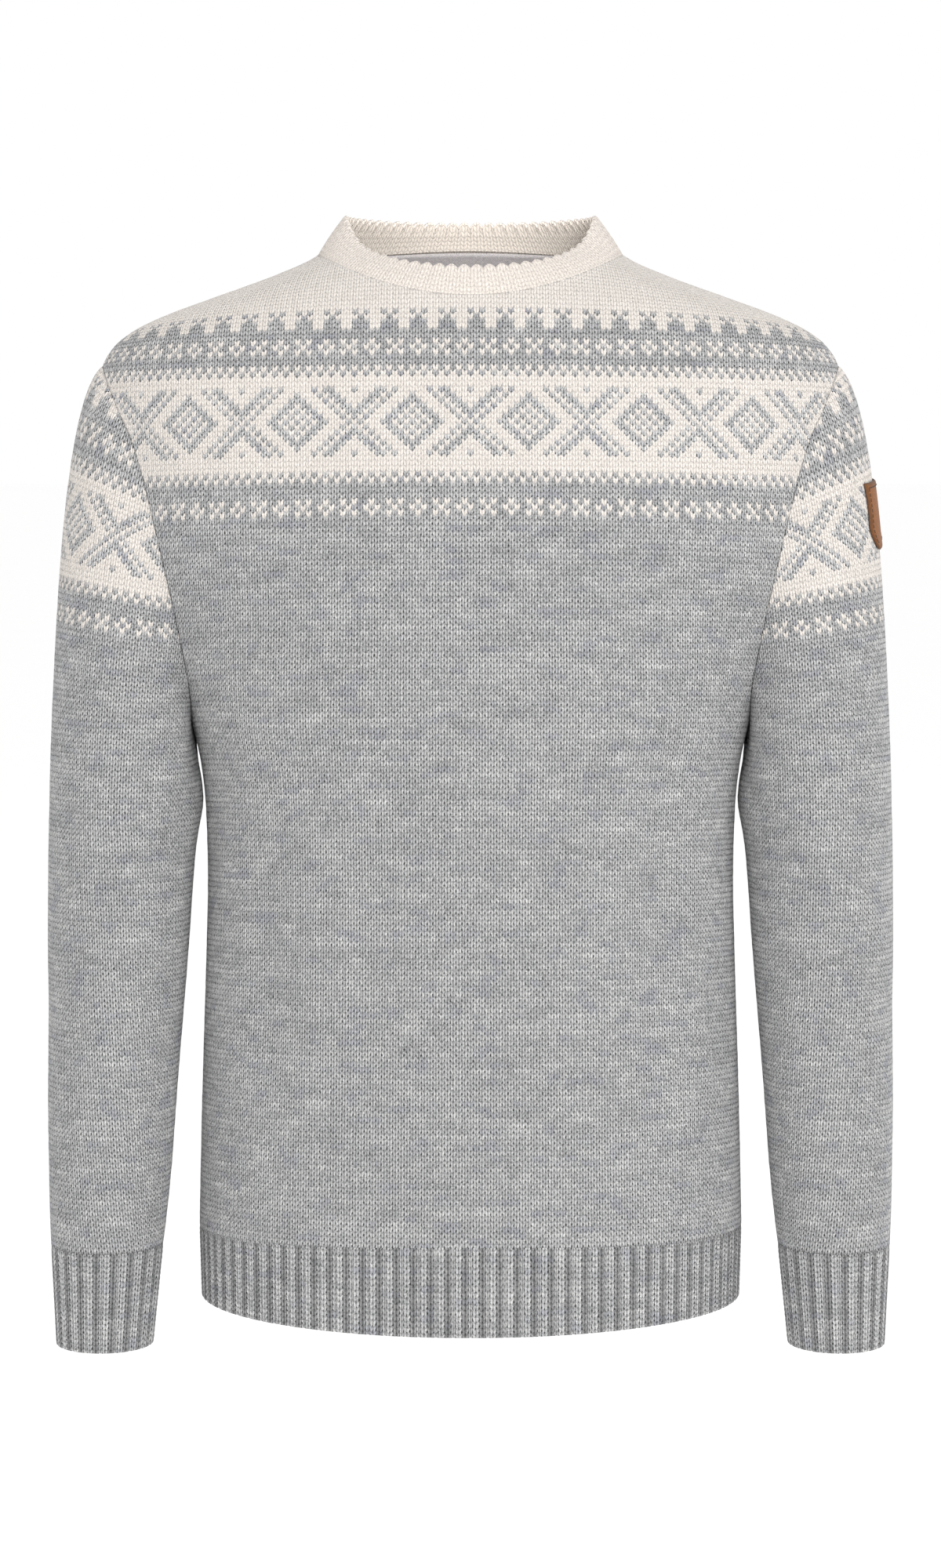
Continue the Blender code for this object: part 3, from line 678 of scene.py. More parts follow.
class Knit:
    """Where the stitches of a piece lie, how far they are from its edges, and its folds."""

    def place(self, column: Array, row: Array) -> Array:
        """Points of the cloth at stitches."""
        raise NotImplementedError

    def seam_room(self, column: Array, row: Array) -> Array:
        """Distance left to the seams at which the cloth lies flat."""
        raise NotImplementedError

    def room(self, column: Array, row: Array) -> Array:
        """Distance left to the edges."""
        return self.seam_room(column, row)

    def dip(self, column: Array, row: Array) -> Array:
        """Depth of the folds at stitches."""
        raise NotImplementedError


class PanelKnit(Knit):
    """Where the stitches of a body panel lie on the torso."""

    column_limit = 78.0
    column_step = 0.25
    row_step = 0.25
    spare_rows = 52.0
    climb_limit = 100.0
    climb_step = 0.5
    seam_fade = (-285.0, -200.0)
    fold_edge_power = 6
    fold_hem_fade = 138.0

    def __init__(self, torso: Torso, armhole: Armhole, neckline: Neckline, side: Side) -> None:
        """Work out how the columns climb over the shoulders."""
        self.torso, self.armhole, self.neckline, self.side = torso, armhole, neckline, side
        self.folds = FRONT_FOLDS if side is Side.FRONT else BACK_FOLDS
        self.levels = SmoothTable(ROW_LEVELS)
        columns = even_steps(-self.column_limit, self.column_limit, self.column_step)
        start = self.level_height(columns, np.full(columns.shape, YOKE_ROW))
        heights = start[:, None] + np.arange(0, self.climb_limit, self.climb_step)
        climbed = length_along(torso.point(side, heights, self.arc(columns[:, None], heights)))
        wanted = np.arange(0, self.spare_rows, self.row_step) * YOKE_ROW_HEIGHT
        self.path = np.array([np.interp(wanted, line, level) for line, level in zip(climbed, heights)])

    def level_height(self, column: Array, row: Array) -> Array:
        """Height of a stitch below the shoulders."""
        droop = self.levels.read("droop", row) * (column / DROOP_STITCH) ** 2
        return self.levels.read("height", row) - droop

    def height(self, column: Array, row: Array) -> Array:
        """Height of a stitch anywhere on the panel."""
        over = (row - YOKE_ROW) / self.row_step
        climbed = bilinear(self.path, (column + self.column_limit) / self.column_step, over)
        return np.where(row < YOKE_ROW, self.level_height(column, row), climbed)

    def arc(self, column: Array, height: Array) -> Array:
        """Distance of a stitch from the centre line, spread to meet the side seams."""
        low, high = self.seam_fade
        edge = self.torso.half_arc(self.side, np.minimum(height, low))
        spare = (edge - HALF_STITCHES * STITCH_WIDTH) * (1 - smooth_step(low, high, height))
        share = column / HALF_STITCHES
        return column * STITCH_WIDTH + spare * share * np.abs(share)

    def place(self, column: Array, row: Array) -> Array:
        """Points of the cloth at stitches."""
        height = self.height(column, row)
        return self.torso.point(self.side, height, self.arc(column, height))

    def seam_room(self, column: Array, row: Array) -> Array:
        """Distance left to the side, armhole, shoulder and neck seams."""
        height = self.height(column, row)
        arc = self.arc(column, height)
        across = self.torso.point(self.side, height, arc)[..., 0]
        return np.minimum(
            self.armhole.arc(self.side, height) - np.abs(arc),
            self.neckline.height(self.side, across) - height,
        )

    def room(self, column: Array, row: Array) -> Array:
        """Distance left to the panel's edges, the hem seam too."""
        turn = np.clip(column / HALF_STITCHES, -1, 1) * math.pi / 2
        hem = HEM_SEAM_HEIGHT + HEM_SEAM_RISE * np.cos(turn) ** 2
        return np.minimum(self.seam_room(column, row), self.height(column, row) - hem)

    def dip(self, column: Array, row: Array) -> Array:
        """Depth of the folds, which fade towards the seams and the hem."""
        height = self.height(column, row)
        arc = self.arc(column, height)
        edge = self.armhole.arc(self.side, height)
        fade = 1 - np.clip(np.abs(arc) / edge, 0, 1) ** self.fold_edge_power
        fade = fade * np.clip((height - HEM_SEAM_HEIGHT) / self.fold_hem_fade, 0, 1)
        return fold_depth(self.folds, self.torso.half_arc(self.side, height), arc, height) * fade


class SleeveKnit(Knit):
    """Where the stitches of the +X sleeve lie; its rows tilt towards the shoulder."""

    row_step = 0.25
    arc_step = 1.0
    arc_limit = 200.0
    turn_step = 1.5
    cap_steps = 120
    arm_steps = 100
    halvings = 30

    def __init__(self, form: SleeveForm) -> None:
        """Follow each row round the sleeve, as far as the armhole seam lets it."""
        self.form = form
        self.planes = SmoothTable(ROW_PLANES)
        turns = np.radians(even_steps(-180.0, 180.0, self.turn_step))
        cap = np.linspace(0, 1, self.cap_steps + 1)
        shares = np.concatenate((cap, np.linspace(1 + 1 / self.arm_steps, 2, self.arm_steps)))
        counted = self.row_at(form.point(turns[None, :], shares[:, None]))
        self.first = float(counted[-1].max())
        self.last = float(counted[0].max())
        self.rows = np.arange(self.first, self.last, self.row_step)
        self.arcs = even_steps(-self.arc_limit, self.arc_limit, self.arc_step)
        lines, ends = [], []
        for row in self.rows:
            share = np.array([np.interp(-row, -column, shares) for column in counted.T])
            line, end = self.follow(row, turns, share, counted[0])
            lines.append(line)
            ends.append(end)
        self.lines, self.ends = np.array(lines), np.array(ends)

    def row_at(self, points: Array) -> Array:
        """Row whose plane passes through each point, found by halving."""
        low = np.full(points.shape[:-1], self.planes.keys[0])
        high = np.full(points.shape[:-1], self.planes.keys[-1])
        inward = SLEEVE_REFERENCE - points[..., 0]
        for _ in range(self.halvings):
            middle = (low + high) / 2
            level = self.planes.read("height", middle) - self.planes.read("slope", middle) * inward
            over = level > points[..., 2]
            high = np.where(over, middle, high)
            low = np.where(over, low, middle)
        return (low + high) / 2

    def follow(
        self, row: float, turns: Array, share: Array, seam_rows: Array
    ) -> tuple[Array, tuple[float, float]]:
        """One row as points at even distances from the outer line, and where it ends.

        Args:
            row: The row.
            turns: Turns at which its share down the sleeve is known.
            share: Those shares.
            seam_rows: Row of the armhole seam at each turn.

        Returns:
            The points, and the row's length to the back and to the front.
        """
        middle = len(turns) // 2
        angle, down = [turns[middle]], [share[middle]]
        for way in (1, -1):
            index = middle
            found_angle, found_down = [], []
            while 0 <= index + way < len(turns) and seam_rows[index + way] > row:
                index += way
                found_angle.append(turns[index])
                found_down.append(share[index])
            if 0 <= index + way < len(turns):
                gap = seam_rows[index] - seam_rows[index + way]
                part = np.clip((seam_rows[index] - row) / gap, 0, 1)
                found_angle.append(turns[index] + part * (turns[index + way] - turns[index]))
                found_down.append(0.0)
            if way == 1:
                angle, down = angle + found_angle, down + found_down
            else:
                angle, down = found_angle[::-1] + angle, found_down[::-1] + down
                origin = len(found_angle)
        points = self.form.point(np.array(angle), np.array(down))
        run = length_along(points)
        run -= run[origin]
        line = np.stack([np.interp(self.arcs, run, axis) for axis in points.T], axis=-1)
        return line, (-run[0], run[-1])

    def place(self, column: Array, row: Array) -> Array:
        """Points of the cloth at stitches."""
        arc = column * STITCH_WIDTH
        return bilinear(
            self.lines, (row - self.first) / self.row_step, (arc + self.arc_limit) / self.arc_step
        )

    def seam_room(self, column: Array, row: Array) -> Array:
        """Distance left to the armhole seam and to the underarm seam."""
        end = bilinear(self.ends, (row - self.first) / self.row_step, np.where(column < 0, 0.0, 1.0))
        beyond = np.clip(row - self.rows[-1], 0, None) * ROW_HEIGHT
        return np.where(beyond > 0, -beyond, end - np.abs(column * STITCH_WIDTH))

    def dip(self, column: Array, row: Array) -> Array:
        """Depth of the folds at stitches."""
        height = self.place(column, row)[..., 2]
        half = np.interp(row, self.rows, self.ends.mean(axis=1))
        return fold_depth(SLEEVE_FOLDS, half, column * STITCH_WIDTH, height)


# ---- meshes


@dataclass
class Surface:
    """Triangles over a set of points, with stitch coordinates at their corners."""

    points: Array
    triangles: Array
    knit: Array
    room: Array
    stitch: Array

    def normals(self) -> Array:
        """Direction at each point, away from the middle of the surface."""
        corners = self.points[self.triangles]
        faces = np.cross(corners[:, 1] - corners[:, 0], corners[:, 2] - corners[:, 0])
        normals = np.zeros_like(self.points)
        for corner in self.triangles.T:
            for axis in range(3):
                normals[:, axis] += np.bincount(corner, weights=faces[:, axis], minlength=len(self.points))
        normals /= np.maximum(np.linalg.norm(normals, axis=1, keepdims=True), TINY)
        away = self.points - self.points.mean(axis=0)
        return normals if float((normals * away).sum()) > 0 else -normals

    def moved(self, way: Array, distance: "Array | float") -> "Surface":
        """The surface moved along a direction at each point."""
        return replace(self, points=self.points + way * np.reshape(distance, (-1, 1)))

    def edge_loops(self) -> list[list[int]]:
        """Loops of points along the open edges, in the triangles' own direction."""
        count = len(self.points)
        start = self.triangles.ravel()
        end = np.roll(self.triangles, -1, axis=1).ravel()
        open_edge = ~np.isin(start * count + end, end * count + start)
        following = dict(zip(start[open_edge].tolist(), end[open_edge].tolist()))
        loops = []
        while following:
            point, first = following.popitem()
            loop = [point]
            while first != loop[0]:
                loop.append(first)
                first = following.pop(first)
            loops.append(loop)
        return loops


class KnitCutter:
    """Cuts a grid of stitches to the outline of its piece, point by point."""

    halvings = 18
    weld_distance = 0.06

    def __init__(self, knit: Knit) -> None:
        """Take in where the stitches lie and how far they are from the edges."""
        self.knit = knit

    def cut(self, columns: Array, rows: Array, weld: bool) -> Surface:
        """Make the surface over a grid of stitches.

        Args:
            columns: Stitches at which the grid has points.
            rows: Rows at which the grid has points.
            weld: Whether edges that meet are joined, as under the arm.

        Returns:
            The surface, whose edge points lie on the piece's edge.
        """
        column, row = np.meshgrid(columns, rows)
        inside = self.knit.room(column, row) > 0
        column, row, edge = self.snap(column, row, inside)
        used = inside | edge
        index = np.full(inside.shape, -1)
        index[used] = np.arange(used.sum())
        corners = quad_corners(index)[quad_corners(inside).any(axis=-1)]
        known = (corners >= 0).sum(axis=1)
        partial = corners[known == 3]
        triangles = np.concatenate((halved(corners[known == 4]), partial[partial >= 0].reshape(-1, 3)))
        stitch = np.stack((column[used], row[used]), axis=-1)
        points = self.knit.place(*stitch.T)
        room = np.where(inside[used], self.knit.seam_room(*stitch.T), 0.0)
        corner_knit = stitch[triangles]
        if weld:
            triangles = self.welded(points, np.flatnonzero(edge[used]), triangles)
        alive = (triangles != np.roll(triangles, 1, axis=1)).all(axis=1)
        return self.packed(points, triangles[alive], corner_knit[alive], room, stitch)

    def snap(self, column: Array, row: Array, inside: Array) -> tuple[Array, Array, Array]:
        """Move the points just outside the piece onto its edge.

        Args:
            column: Stitches of the grid.
            row: Rows of the grid.
            inside: Which of its points are on the piece.

        Returns:
            The stitches and rows with those points moved, and which they are.
        """
        nearest = np.full(inside.shape, np.inf)
        moved = np.stack((column, row))
        outside = np.argwhere(~inside)
        for step in ((0, 1), (0, -1), (1, 0), (-1, 0)):
            beside = outside + step
            fits = ((beside >= 0) & (beside < inside.shape)).all(axis=1)
            spot, beside = outside[fits], beside[fits]
            held = inside[tuple(beside.T)]
            spot, beside = tuple(spot[held].T), tuple(beside[held].T)
            start = np.stack((column[beside], row[beside]))
            span = np.stack((column[spot], row[spot])) - start
            share = self.edge_share(start, span)
            nearer = 1 - share < nearest[spot]
            chosen = tuple(axis[nearer] for axis in spot)
            nearest[chosen] = (1 - share)[nearer]
            for grid, found in zip(moved, start + span * share):
                grid[chosen] = found[nearer]
        return *moved, np.isfinite(nearest) & ~inside

    def edge_share(self, start: Array, span: Array) -> Array:
        """Share of each step outwards that is still on the piece, found by halving."""
        low, high = np.zeros(start.shape[1]), np.ones(start.shape[1])
        for _ in range(self.halvings):
            middle = (low + high) / 2
            held = self.knit.room(*(start + span * middle)) > 0
            low, high = np.where(held, middle, low), np.where(held, high, middle)
        return low

    def welded(self, points: Array, edge: Array, triangles: Array) -> Array:
        """Triangles with the edge points that meet made one."""
        tree = kdtree.KDTree(len(edge))
        for index in edge:
            tree.insert(Vector(points[index]), int(index))
        tree.balance()
        target = np.arange(len(points))
        for index in edge:
            near = min(found[1] for found in tree.find_range(Vector(points[index]), self.weld_distance))
            target[index] = target[near]
        return target[triangles]

    @staticmethod
    def packed(points: Array, triangles: Array, knit: Array, room: Array, stitch: Array) -> Surface:
        """Surface with only the points that its triangles use."""
        used = np.unique(triangles)
        index = np.zeros(len(points), int)
        index[used] = np.arange(len(used))
        return Surface(points[used], index[triangles], knit, room[used], stitch[used])


def quad_corners(grid: Array) -> Array:
    """Values at the four corners of each cell of a grid, in turn."""
    return np.stack((grid[:-1, :-1], grid[:-1, 1:], grid[1:, 1:], grid[1:, :-1]), axis=-1)


def halved(quads: Array) -> Array:
    """Two triangles for each quad."""
    return np.concatenate((quads[:, (0, 1, 2)], quads[:, (0, 2, 3)]))


def grid_surface(points: Array, stitch: Array, closed: bool) -> Surface:
    """Surface over a grid of points.

    Args:
        points: Points by row and column.
        stitch: Their stitch coordinates.
        closed: Whether the last column lies on the first, as round a cuff.

    Returns:
        The surface.
    """
    rows, columns = stitch.shape[:2]
    width = columns - 1 if closed else columns
    cells = quad_corners(np.arange(rows * columns).reshape(rows, columns)).reshape(-1, 4)
    row, column = np.divmod(halved(cells), columns)
    flat = points[:, :width].reshape(-1, 3)
    flat_stitch = stitch[:, :width].reshape(-1, 2)
    return Surface(flat, row * width + column % width, stitch[row, column], np.zeros(len(flat)), flat_stitch)


def leg_relief(column: Array) -> Array:
    """Height of the stitches' two legs above the cloth's mean face, by stitch."""
    across = np.abs(2 * ((column + 0.5) % 1.0) - 1)
    ridge = LEG_RIDGE * np.sin(math.pi * across)
    return ridge - STITCH_VALLEY * across**2 - STITCHES_TO_FACE


def zipped(outer: Sequence[int], inner: Sequence[int], points: Array) -> list[tuple[int, int, int]]:
    """Triangles between two loops of points that run side by side.

    Args:
        outer: The first loop, in its triangles' direction.
        inner: The second loop, in its triangles' direction, which is the other way.
        points: All the points.

    Returns:
        The triangles that close the gap.
    """
    back = list(inner)[::-1]
    start = int(np.argmin(np.linalg.norm(points[back] - points[outer[0]], axis=1)))
    back = back[start:] + back[: start + 1]
    line = list(outer) + [outer[0]]
    made, i, j = [], 0, 0
    while i < len(line) - 1 or j < len(back) - 1:
        forward = j == len(back) - 1
        if not forward and i < len(line) - 1:
            ahead = np.linalg.norm(points[line[i + 1]] - points[back[j]])
            forward = ahead <= np.linalg.norm(points[line[i]] - points[back[j + 1]])
        if forward:
            made.append((line[i + 1], line[i], back[j]))
            i += 1
        else:
            made.append((back[j], back[j + 1], line[i]))
            j += 1
    return made


@dataclass(frozen=True)
class MapArea:
    """Part of a wall's bake map, in shares of the map."""

    left: float
    low: float
    width: float
    height: float

    def placed(self, spots: Array) -> Array:
        """Spots from 0 to 1, laid in the area."""
        return spots * (self.width, self.height) + (self.left, self.low)


OUTER_AREA = MapArea(0.01, 0.01, 0.98, 0.80)
INNER_AREA = MapArea(0.01, 0.83, 0.98, 0.13)
RIM_AREA = MapArea(0.01, 0.975, 0.98, 0.02)


@dataclass
class Wall:
    """Closed cloth wall: an outer face, an inner face and the rims between them."""

    outer: Surface
    inner: Surface

    def build(self, name: str, flip: float = 1.0) -> Piece:
        """Make the wall's object.

        Args:
            name: Name of the object.
            flip: -1 for a piece carried to the -X side, or 1.

        Returns:
            The object, at the origin, with its stitch coordinates in the map Knit.
        """
        points = np.concatenate((self.outer.points, self.inner.points)) * (flip, 1.0, 1.0)
        stitch = np.concatenate((self.outer.stitch, self.inner.stitch))
        rims = self.rims(points)
        inner = self.inner.triangles[:, ::-1] + len(self.outer.points)
        triangles = np.concatenate((self.outer.triangles, inner, rims))
        knit = np.concatenate((self.outer.knit, self.inner.knit[:, ::-1], stitch[rims]))
        piece = mesh_object(name, points, triangles, knit)
        order = np.arange(len(triangles))
        piece.data.polygons.foreach_set("use_smooth", order < len(triangles) - len(rims))
        mark(piece, "inside", "FACE", order >= len(self.outer.triangles))
        self.add_bake_map(piece, knit, len(rims))
        turn_outwards(piece)
        return piece

    def rims(self, points: Array) -> Array:
        """Triangles from each edge of the outer face to the edge of the inner one by it."""
        count = len(self.outer.points)
        others = [[point + count for point in loop[::-1]] for loop in self.inner.edge_loops()]
        made = []
        for loop in self.outer.edge_loops():
            centre = points[loop].mean(axis=0)
            others.sort(key=lambda other: float(np.linalg.norm(points[other].mean(axis=0) - centre)))
            made += zipped(loop, others.pop(0), points)
        return np.array(made)

    def add_bake_map(self, piece: Piece, knit: Array, rims: int) -> None:
        """Lay the outer face, the inner face and the rims side by side in one map.

        Args:
            piece: The wall's object.
            knit: Stitch coordinates at the corners of its triangles.
            rims: Number of triangles in the rims, which come last.
        """
        low = self.outer.stitch.min(axis=0)
        size = np.maximum(self.outer.stitch.max(axis=0) - low, TINY)
        spots = np.clip((knit - low) / size, 0, 1)
        outer, inner = len(self.outer.triangles), len(knit) - rims
        spots[:outer] = OUTER_AREA.placed(spots[:outer])
        spots[outer:inner] = INNER_AREA.placed(spots[outer:inner])
        start = np.arange(rims) / rims
        along = np.stack((start, start + 1 / rims, start + 0.5 / rims), axis=-1)
        spots[inner:] = RIM_AREA.placed(np.stack((along, np.zeros_like(along) + (0, 0, 1)), axis=-1))
        layer = piece.data.uv_layers.new(name="OFBake")
        layer.data.foreach_set("uv", spots.astype(np.float32).ravel())


def mesh_object(name: str, points: Array, triangles: Array, knit: Array) -> Piece:
    """Object from points in millimetres, triangles and stitch coordinates."""
    mesh = bpy.data.meshes.new(name)
    mesh.vertices.add(len(points))
    mesh.vertices.foreach_set("co", (points * MM).astype(np.float32).ravel())
    mesh.loops.add(triangles.size)
    mesh.loops.foreach_set("vertex_index", triangles.astype(np.int32).ravel())
    mesh.polygons.add(len(triangles))
    mesh.polygons.foreach_set("loop_start", np.arange(0, triangles.size, 3, dtype=np.int32))
    mesh.polygons.foreach_set("loop_total", np.full(len(triangles), 3, np.int32))
    layer = mesh.uv_layers.new(name="Knit")
    mesh.update(calc_edges=True)
    layer.data.foreach_set("uv", knit.astype(np.float32).ravel())
    mesh.polygons.foreach_set("use_smooth", np.ones(len(triangles), bool))
    piece = bpy.data.objects.new(name, mesh)
    bpy.context.scene.collection.objects.link(piece)
    return piece


def mark(piece: Piece, name: str, domain: str, values: Array) -> None:
    """Store a number for each point or face of a piece."""
    layer = piece.data.attributes.new(name, "FLOAT", domain)
    layer.data.foreach_set("value", values.astype(np.float32))


def dress(piece: Piece, finish: Material) -> None:
    """Give a piece its one material."""
    piece.data.materials.clear()
    piece.data.materials.append(finish)


def turn_outwards(piece: Piece) -> None:
    """Turn the faces of a closed piece outwards."""
    mesh = bmesh.new()
    mesh.from_mesh(piece.data)
    bmesh.ops.recalc_face_normals(mesh, faces=mesh.faces[:])
    mesh.to_mesh(piece.data)
    mesh.free()


# ---- shader nodes


class Wire:
    """A number in a node tree that takes part in plain arithmetic."""

    def __init__(self, tree: Tree, socket: Socket) -> None:
        """Hold the socket that gives the number."""
        self.tree, self.socket = tree, socket

    def through(self, operation: str, *others: "Wire | float", clamp: bool = False) -> "Wire":
        """Result of a math node fed with this number and others."""
        node = self.tree.nodes.new("ShaderNodeMath")
        node.operation = operation
        node.use_clamp = clamp
        for slot, value in enumerate((self, *others)):
            plug(self.tree, node.inputs[slot], value)
        return Wire(self.tree, node.outputs[0])

    def __add__(self, other: "Wire | float") -> "Wire":
        """Sum."""
        return self.through("ADD", other)

    def __sub__(self, other: "Wire | float") -> "Wire":
        """Difference."""
        return self.through("SUBTRACT", other)

    def __mul__(self, other: "Wire | float") -> "Wire":
        """Product."""
        return self.through("MULTIPLY", other)

    def floor(self) -> "Wire":
        """Whole number below."""
        return self.through("FLOOR")

    def fraction(self) -> "Wire":
        """What is over the whole number below."""
        return self.through("FRACT")

    def size(self) -> "Wire":
        """Value without its sign."""
        return self.through("ABSOLUTE")

    def is_near(self, value: "Wire | float", reach: float = 0.5) -> "Wire":
        """1 where the number is within reach of the value, and else 0."""
        return self.through("COMPARE", value, reach)

    def under(self, value: "Wire | float") -> "Wire":
        """1 where the number is below the value."""
        return self.through("LESS_THAN", value)

    def over(self, value: "Wire | float") -> "Wire":
        """1 where the number is above the value."""
        return self.through("GREATER_THAN", value)

    def either(self, other: "Wire") -> "Wire":
        """Larger of two numbers."""
        return self.through("MAXIMUM", other)

    def wrapped(self, period: float) -> "Wire":
        """Remainder after whole periods, never negative."""
        return self.through("FLOORED_MODULO", period)

    def from_middle(self, period: float, lead: float) -> "Wire":
        """Distance from the nearest middle of a repeat, which starts a lead before it."""
        return ((self + lead).wrapped(period) - lead).size()

    def without(self) -> "Wire":
        """1 where the number is 0, and 0 where it is 1."""
        return self * -1.0 + 1.0

    def stepped(self, low: float, high: float) -> "Wire":
        """Soft step from 0 at low to 1 at high."""
        node = self.tree.nodes.new("ShaderNodeMapRange")
        node.interpolation_type = "SMOOTHSTEP"
        plug(self.tree, node.inputs["Value"], self)
        node.inputs["From Min"].default_value = min(low, high)
        node.inputs["From Max"].default_value = max(low, high)
        node.inputs["To Min"].default_value = 0.0 if low < high else 1.0
        node.inputs["To Max"].default_value = 1.0 if low < high else 0.0
        return Wire(self.tree, node.outputs["Result"])


def plug(tree: Tree, socket: Socket, value: object) -> None:
    """Feed a socket from a wire or another socket, or set it to a constant."""
    if isinstance(value, Wire):
        tree.links.new(value.socket, socket)
    elif isinstance(value, Socket):
        tree.links.new(value, socket)
    else:
        socket.default_value = value


class ShaderGroup:
    """A node group with named inputs and outputs."""

    def __init__(self, name: str, inputs: dict[str, str], outputs: dict[str, str]) -> None:
        """Make the group and its sockets.

        Args:
            name: Name of the group.
            inputs: Kind of each input socket, by name.
            outputs: Kind of each output socket, by name.
        """
        self.tree = bpy.data.node_groups.new(name, "ShaderNodeTree")
        for way, sockets in (("INPUT", inputs), ("OUTPUT", outputs)):
            for label, kind in sockets.items():
                self.tree.interface.new_socket(label, in_out=way, socket_type=f"NodeSocket{kind}")
        self.source = self.tree.nodes.new("NodeGroupInput")
        self.result = self.tree.nodes.new("NodeGroupOutput")

    def given(self, label: str) -> Wire:
        """Number that an input brings."""
        return Wire(self.tree, self.source.outputs[label])

    def give(self, label: str, value: "Wire | Socket") -> None:
        """Feed an output."""
        plug(self.tree, self.result.inputs[label], value)


def noise(tree: Tree, vector: object, scale: float, detail: float = 2.0) -> Wire:
    """Noise texture's value over a vector."""
    node = tree.nodes.new("ShaderNodeTexNoise")
    node.inputs["Scale"].default_value = scale
    node.inputs["Detail"].default_value = detail
    plug(tree, node.inputs["Vector"], vector)
    return Wire(tree, node.outputs["Fac"])


def vector(tree: Tree, x: object, y: object, z: object = 0.0) -> Socket:
    """Vector from three numbers."""
    node = tree.nodes.new("ShaderNodeCombineXYZ")
    for slot, value in enumerate((x, y, z)):
        plug(tree, node.inputs[slot], value)
    return node.outputs[0]


def split(tree: Tree, value: Socket) -> list[Wire]:
    """First two numbers of a vector."""
    node = tree.nodes.new("ShaderNodeSeparateXYZ")
    plug(tree, node.inputs[0], value)
    return [Wire(tree, node.outputs[slot]) for slot in (0, 1)]


def blended(tree: Tree, share: object, first: object, second: object) -> Socket:
    """Mix two colours.

    Args:
        tree: The node tree.
        share: Share of the second colour.
        first: First colour, as a socket or three numbers.
        second: Second colour.

    Returns:
        The mixed colour.
    """
    node = tree.nodes.new("ShaderNodeMix")
    node.data_type = "RGBA"
    plug(tree, node.inputs["Factor"], share)
    for label, value in (("A", first), ("B", second)):
        socket = next(item for item in node.inputs if item.name == label and item.type == "RGBA")
        plug(tree, socket, (*value, 1.0) if isinstance(value, tuple) and len(value) == 3 else value)
    return next(item for item in node.outputs if item.type == "RGBA")


@dataclass(frozen=True)
class StitchCell:
    """How a stitch lies in its cell, in shares of the cell.

    A fade is where a soft step begins and ends, across or along a leg. The gap values set how dark the
    painted shade in the gaps between and within the stitches is.
    """

    stray_scale: float = 1.7
    climb_scale: float = 2.3
    hair_scale: float = 5.5
    stray_across: float = 0.30
    hair_across: float = 0.20
    climb_up: float = 0.55
    hair_up: float = 0.32
    leg_start: tuple = (0.0, 0.16)
    leg_end: tuple = (1.15, 0.35)
    leg_base: float = 0.25
    leg_taper: float = 0.45
    side_gap: tuple = (0.62, 0.92)
    side_gap_rows: tuple = ((0.50, 0.22), (-0.12, 0.06))
    middle_gap: tuple = (0.32, 0.06)
    middle_gap_rows: tuple = ((0.10, 0.26), (0.60, 0.42))
    middle_depth: float = 0.9
    seam_fades: tuple = ((0.84, 1.0), (0.14, 0.0))
    seam_depth: float = 0.30
    inner_seam: float = 0.7
    row_fades: tuple = ((0.15, 0.0), (0.87, 1.0))
    row_depth: float = 0.36

    def group(self) -> Tree:
        """Cell of a knit stitch: two slanting legs that open upwards, and the painted shade in the gaps by
        them.
        """
        outputs = ("Column", "Row", "Leg", "Across", "Along", "Height", "Gap")
        group = ShaderGroup(
            "knit_stitch", {"Knit": "Vector", "Slant": "Float"}, {label: "Float" for label in outputs}
        )
        knit = group.source.outputs["Knit"]
        across, up = split(group.tree, knit)
        stray = noise(group.tree, knit, self.stray_scale) - 0.5
        climb = noise(group.tree, knit, self.climb_scale) - 0.5
        hair = noise(group.tree, knit, self.hair_scale, 1.0) - 0.5
        shifted = across + stray * self.stray_across + hair * self.hair_across + 0.5
        up = up + climb * self.climb_up + hair * self.hair_up
        signed = shifted.fraction() * 2.0 - 1.0
        spread = signed.size()
        run = up + 0.5 - group.given("Slant") * (spread - 0.5)
        along = run.fraction()
        swell = (spread - 0.5) * 2.0
        leg = (swell * swell).without().through("MAXIMUM", 0.0).through("SQRT")
        taper = along.stepped(*self.leg_end) * (1 - self.leg_taper) + self.leg_taper
        rise = along.stepped(*self.leg_start) * taper
        group.give("Column", shifted.floor())
        group.give("Row", run.floor())
        group.give("Leg", signed.over(0.0))
        group.give("Across", spread)
        group.give("Along", along)
        group.give("Height", leg * (rise * (1 - self.leg_base) + self.leg_base))
        group.give("Gap", self.gap(spread, along))
        return group.tree

    def gap(self, spread: Wire, along: Wire) -> Wire:
        """Painted shade in the gaps beside, within and between the stitches, where shadow falls.

        Args:
            spread: Distance across from the stitch's middle (0) to its side (1).
            along: Share of the way up a leg.

        Returns:
            How dark the painted shade is, from 0 to 1.
        """
        foot, head = (along.stepped(*fade) for fade in self.side_gap_rows)
        side = foot * head * spread.stepped(*self.side_gap)
        foot, head = (along.stepped(*fade) for fade in self.middle_gap_rows)
        middle = spread.stepped(*self.middle_gap) * foot * head
        outer, inner = (spread.stepped(*fade) for fade in self.seam_fades)
        seam = outer.either(inner * self.inner_seam) * self.seam_depth
        low, high = (along.stepped(*fade) for fade in self.row_fades)
        return side.either(middle * self.middle_depth).either(seam).either(low.either(high) * self.row_depth)


